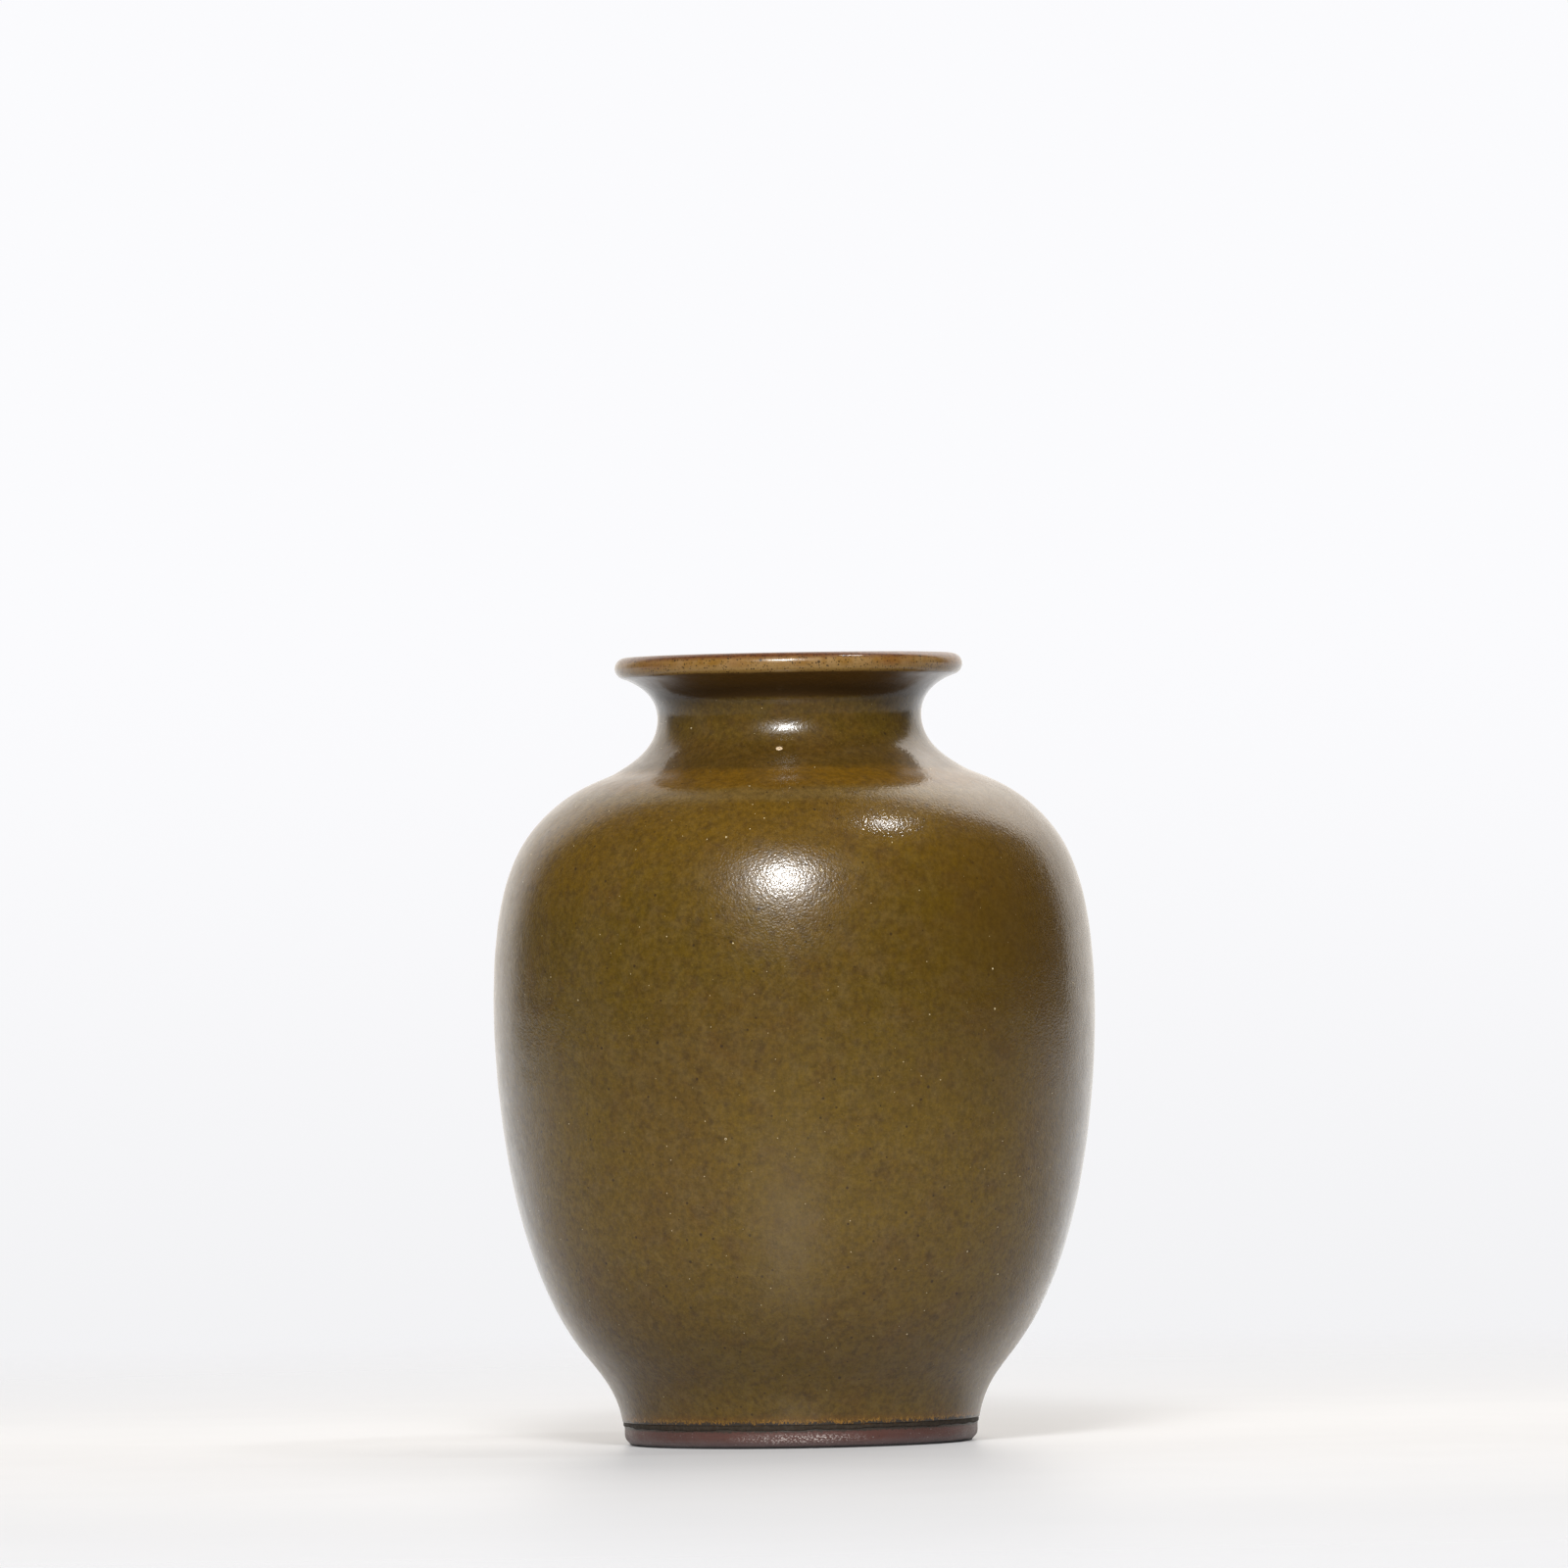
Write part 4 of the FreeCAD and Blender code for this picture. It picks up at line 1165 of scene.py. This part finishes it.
CEILING_WIDTH = (55 * DEGREE, 35 * DEGREE)
FAR_FLOOR = (0.02, -0.08)
FAR_FLOOR_FRONT = 0.42
FAR_FLOOR_BACK = 1.25
FAR_FLOOR_DEPTH = (-0.3, 1.0)
FAR_FLOOR_DIM = 0.45
FAR_FLOOR_FALL = (-0.05, -0.55)
BACKGROUND_STEP = (math.sin(-2.5 * DEGREE), math.sin(1.5 * DEGREE))


def make_world():
    """Pale to the camera; to the object, a white sweep behind it and a dim room before it."""
    world = bpy.data.worlds.new("studio")
    bpy.context.scene.world = world
    world.use_nodes = True
    look = Look.__new__(Look)
    look.tree = world.node_tree
    look.tree.nodes.clear()
    direction = look.add("ShaderNodeTexCoord").outputs["Generated"]
    parts = look.add("ShaderNodeSeparateXYZ", {"Vector": direction})
    azimuth = look.math("ARCTAN2", parts.outputs["X"], parts.outputs["Y"])
    elevation = look.math("ARCSINE", parts.outputs["Z"])

    lean = look.scaled(look.steps(elevation, *SWEEP_LEAN_HEIGHT), -SWEEP_LEFT_LEAN, azimuth)
    right_lean = look.scaled(look.steps(elevation, *SWEEP_RIGHT_LEAN_HEIGHT), -SWEEP_RIGHT_LEAN, azimuth)
    right_edge = look.steps(right_lean, *SWEEP_RIGHT_EDGE)
    inside = look.math("MULTIPLY", look.steps(lean, *SWEEP_LEFT_EDGE), right_edge)
    left = look.scaled(look.steps(elevation, *SWEEP_LEFT_TOP), SWEEP_LEFT_LIGHT)
    rise = look.steps(elevation, *SWEEP_RIGHT_RISE)
    rise = look.scaled(rise, SWEEP_RIGHT_HIGH - SWEEP_RIGHT_LOW, SWEEP_RIGHT_LOW)
    right = look.math("MULTIPLY", rise, look.steps(elevation, *SWEEP_RIGHT_TOP))
    sweep = look.scaled(look.steps(azimuth, *SWEEP_MIDDLE), look.math("SUBTRACT", right, left), left)

    room = look.scaled(look.steps(parts.outputs["X"], *ROOM_ACROSS), ROOM_RIGHT - ROOM_LEFT, ROOM_LEFT)
    beside = look.math("ABSOLUTE", look.math("SUBTRACT", azimuth, PANEL_TURN))
    panel = look.math("MULTIPLY", look.steps(beside, *PANEL_WIDTH), look.steps(elevation, *PANEL_TOP))
    room = look.scaled(panel, PANEL_LIGHT, room)
    ceiling = look.steps(elevation, *CEILING_FRONT)
    ceiling = look.math("MULTIPLY", ceiling, look.steps(elevation, *CEILING_BACK))
    aside = look.steps(look.math("ABSOLUTE", azimuth), *CEILING_WIDTH)
    room = look.scaled(look.math("MULTIPLY", ceiling, aside), CEILING_LIGHT, room)
    level = look.scaled(inside, look.math("SUBTRACT", sweep, room), room)
    back = look.steps(parts.outputs["Y"], *FAR_FLOOR_DEPTH)
    ground = look.scaled(back, FAR_FLOOR_BACK - FAR_FLOOR_FRONT, FAR_FLOOR_FRONT)
    dim = look.scaled(look.steps(parts.outputs["Z"], *FAR_FLOOR_FALL), -FAR_FLOOR_DIM, 1.0)
    ground = look.math("MULTIPLY", ground, dim)
    low = look.steps(parts.outputs["Z"], *FAR_FLOOR)
    level = look.scaled(low, look.math("SUBTRACT", ground, level), level)
    seen = look.mix(look.steps(parts.outputs["Z"], *BACKGROUND_STEP), BACKGROUND_LOW, BACKGROUND_HIGH)
    camera_ray = look.add("ShaderNodeLightPath").outputs["Is Camera Ray"]
    tint = look.mix(low, SWEEP_TINT, UNTINTED)
    studio = look.mix(1.0, grey_of(look, level), tint, blend="MULTIPLY")
    colour = look.mix(camera_ray, studio, seen)
    shader = look.add("ShaderNodeBackground", {"Color": colour, "Strength": 1.0})
    look.add("ShaderNodeOutputWorld", {"Surface": shader.outputs["Background"]})


# Lamps by where they stand from the vase: azimuth from the camera's side towards its right, elevation,
# distance, width, height and power
LAMP_TARGET = Vector((0, 0, 0.11))
LAMPS = {
    "key_lamp": (-3.6, 34.2, 1.2, 0.24, 0.19, 7.4),
    "key_glow": (-3.6, 33.5, 1.22, 0.48, 0.42, 5.0),
    "key_halo": (-5, 33.5, 1.24, 0.76, 0.74, 3.2),
    "key_rim": (-5, 32, 1.25, 1.05, 1.00, 1.2),
    "top_lamp": (79, 64.3, 1.3, 0.14, 0.14, 2.1),
    "top_glow": (79, 64.3, 1.31, 0.28, 0.28, 0.55),
}


def make_lamps():
    """Oval soft lamps that face the vase."""
    for name, (azimuth, elevation, distance, width, height, power) in LAMPS.items():
        data = bpy.data.lights.new(name, "AREA")
        data.shape = "ELLIPSE"
        data.size = width
        data.size_y = height
        data.energy = power
        turn, rise = azimuth * DEGREE, elevation * DEGREE
        back = Vector((math.sin(turn) * math.cos(rise), -math.cos(turn) * math.cos(rise), math.sin(rise)))
        lamp = bpy.data.objects.new(name, data)
        lamp.location = LAMP_TARGET + back * distance
        lamp.rotation_mode = "QUATERNION"
        lamp.rotation_quaternion = back.to_track_quat("Z", "Y")
        lamp.visible_camera = False
        bpy.context.scene.collection.objects.link(lamp)


# The camera: a long lens a little below the vase's middle, rolled by about a degree
LENS = 314.25
SENSOR = 36
CAMERA_DISTANCE = 2.61
CAMERA_HEIGHT = 97.3 * MM
CAMERA_YAW = 0.0267 * DEGREE
CAMERA_PITCH = 0.6189 * DEGREE
CAMERA_ROLL = -0.966 * DEGREE


def make_camera():
    """The camera that frames the whole vase from its front."""
    data = bpy.data.cameras.new("camera")
    data.lens = LENS
    data.sensor_width = SENSOR
    data.clip_end = 20
    camera = bpy.data.objects.new("camera", data)
    bpy.context.scene.collection.objects.link(camera)
    turn = Matrix.Rotation(CAMERA_YAW, 4, "Z")
    pitch = Matrix.Rotation(math.pi / 2 + CAMERA_PITCH, 4, "X")
    roll = Matrix.Rotation(CAMERA_ROLL, 4, "Z")
    camera.matrix_world = Matrix.Translation((0, -CAMERA_DISTANCE, CAMERA_HEIGHT)) @ turn @ pitch @ roll
    bpy.context.scene.camera = camera


make_floor()
make_world()
make_lamps()
make_camera()
bpy.context.scene.view_settings.view_transform = "Standard"
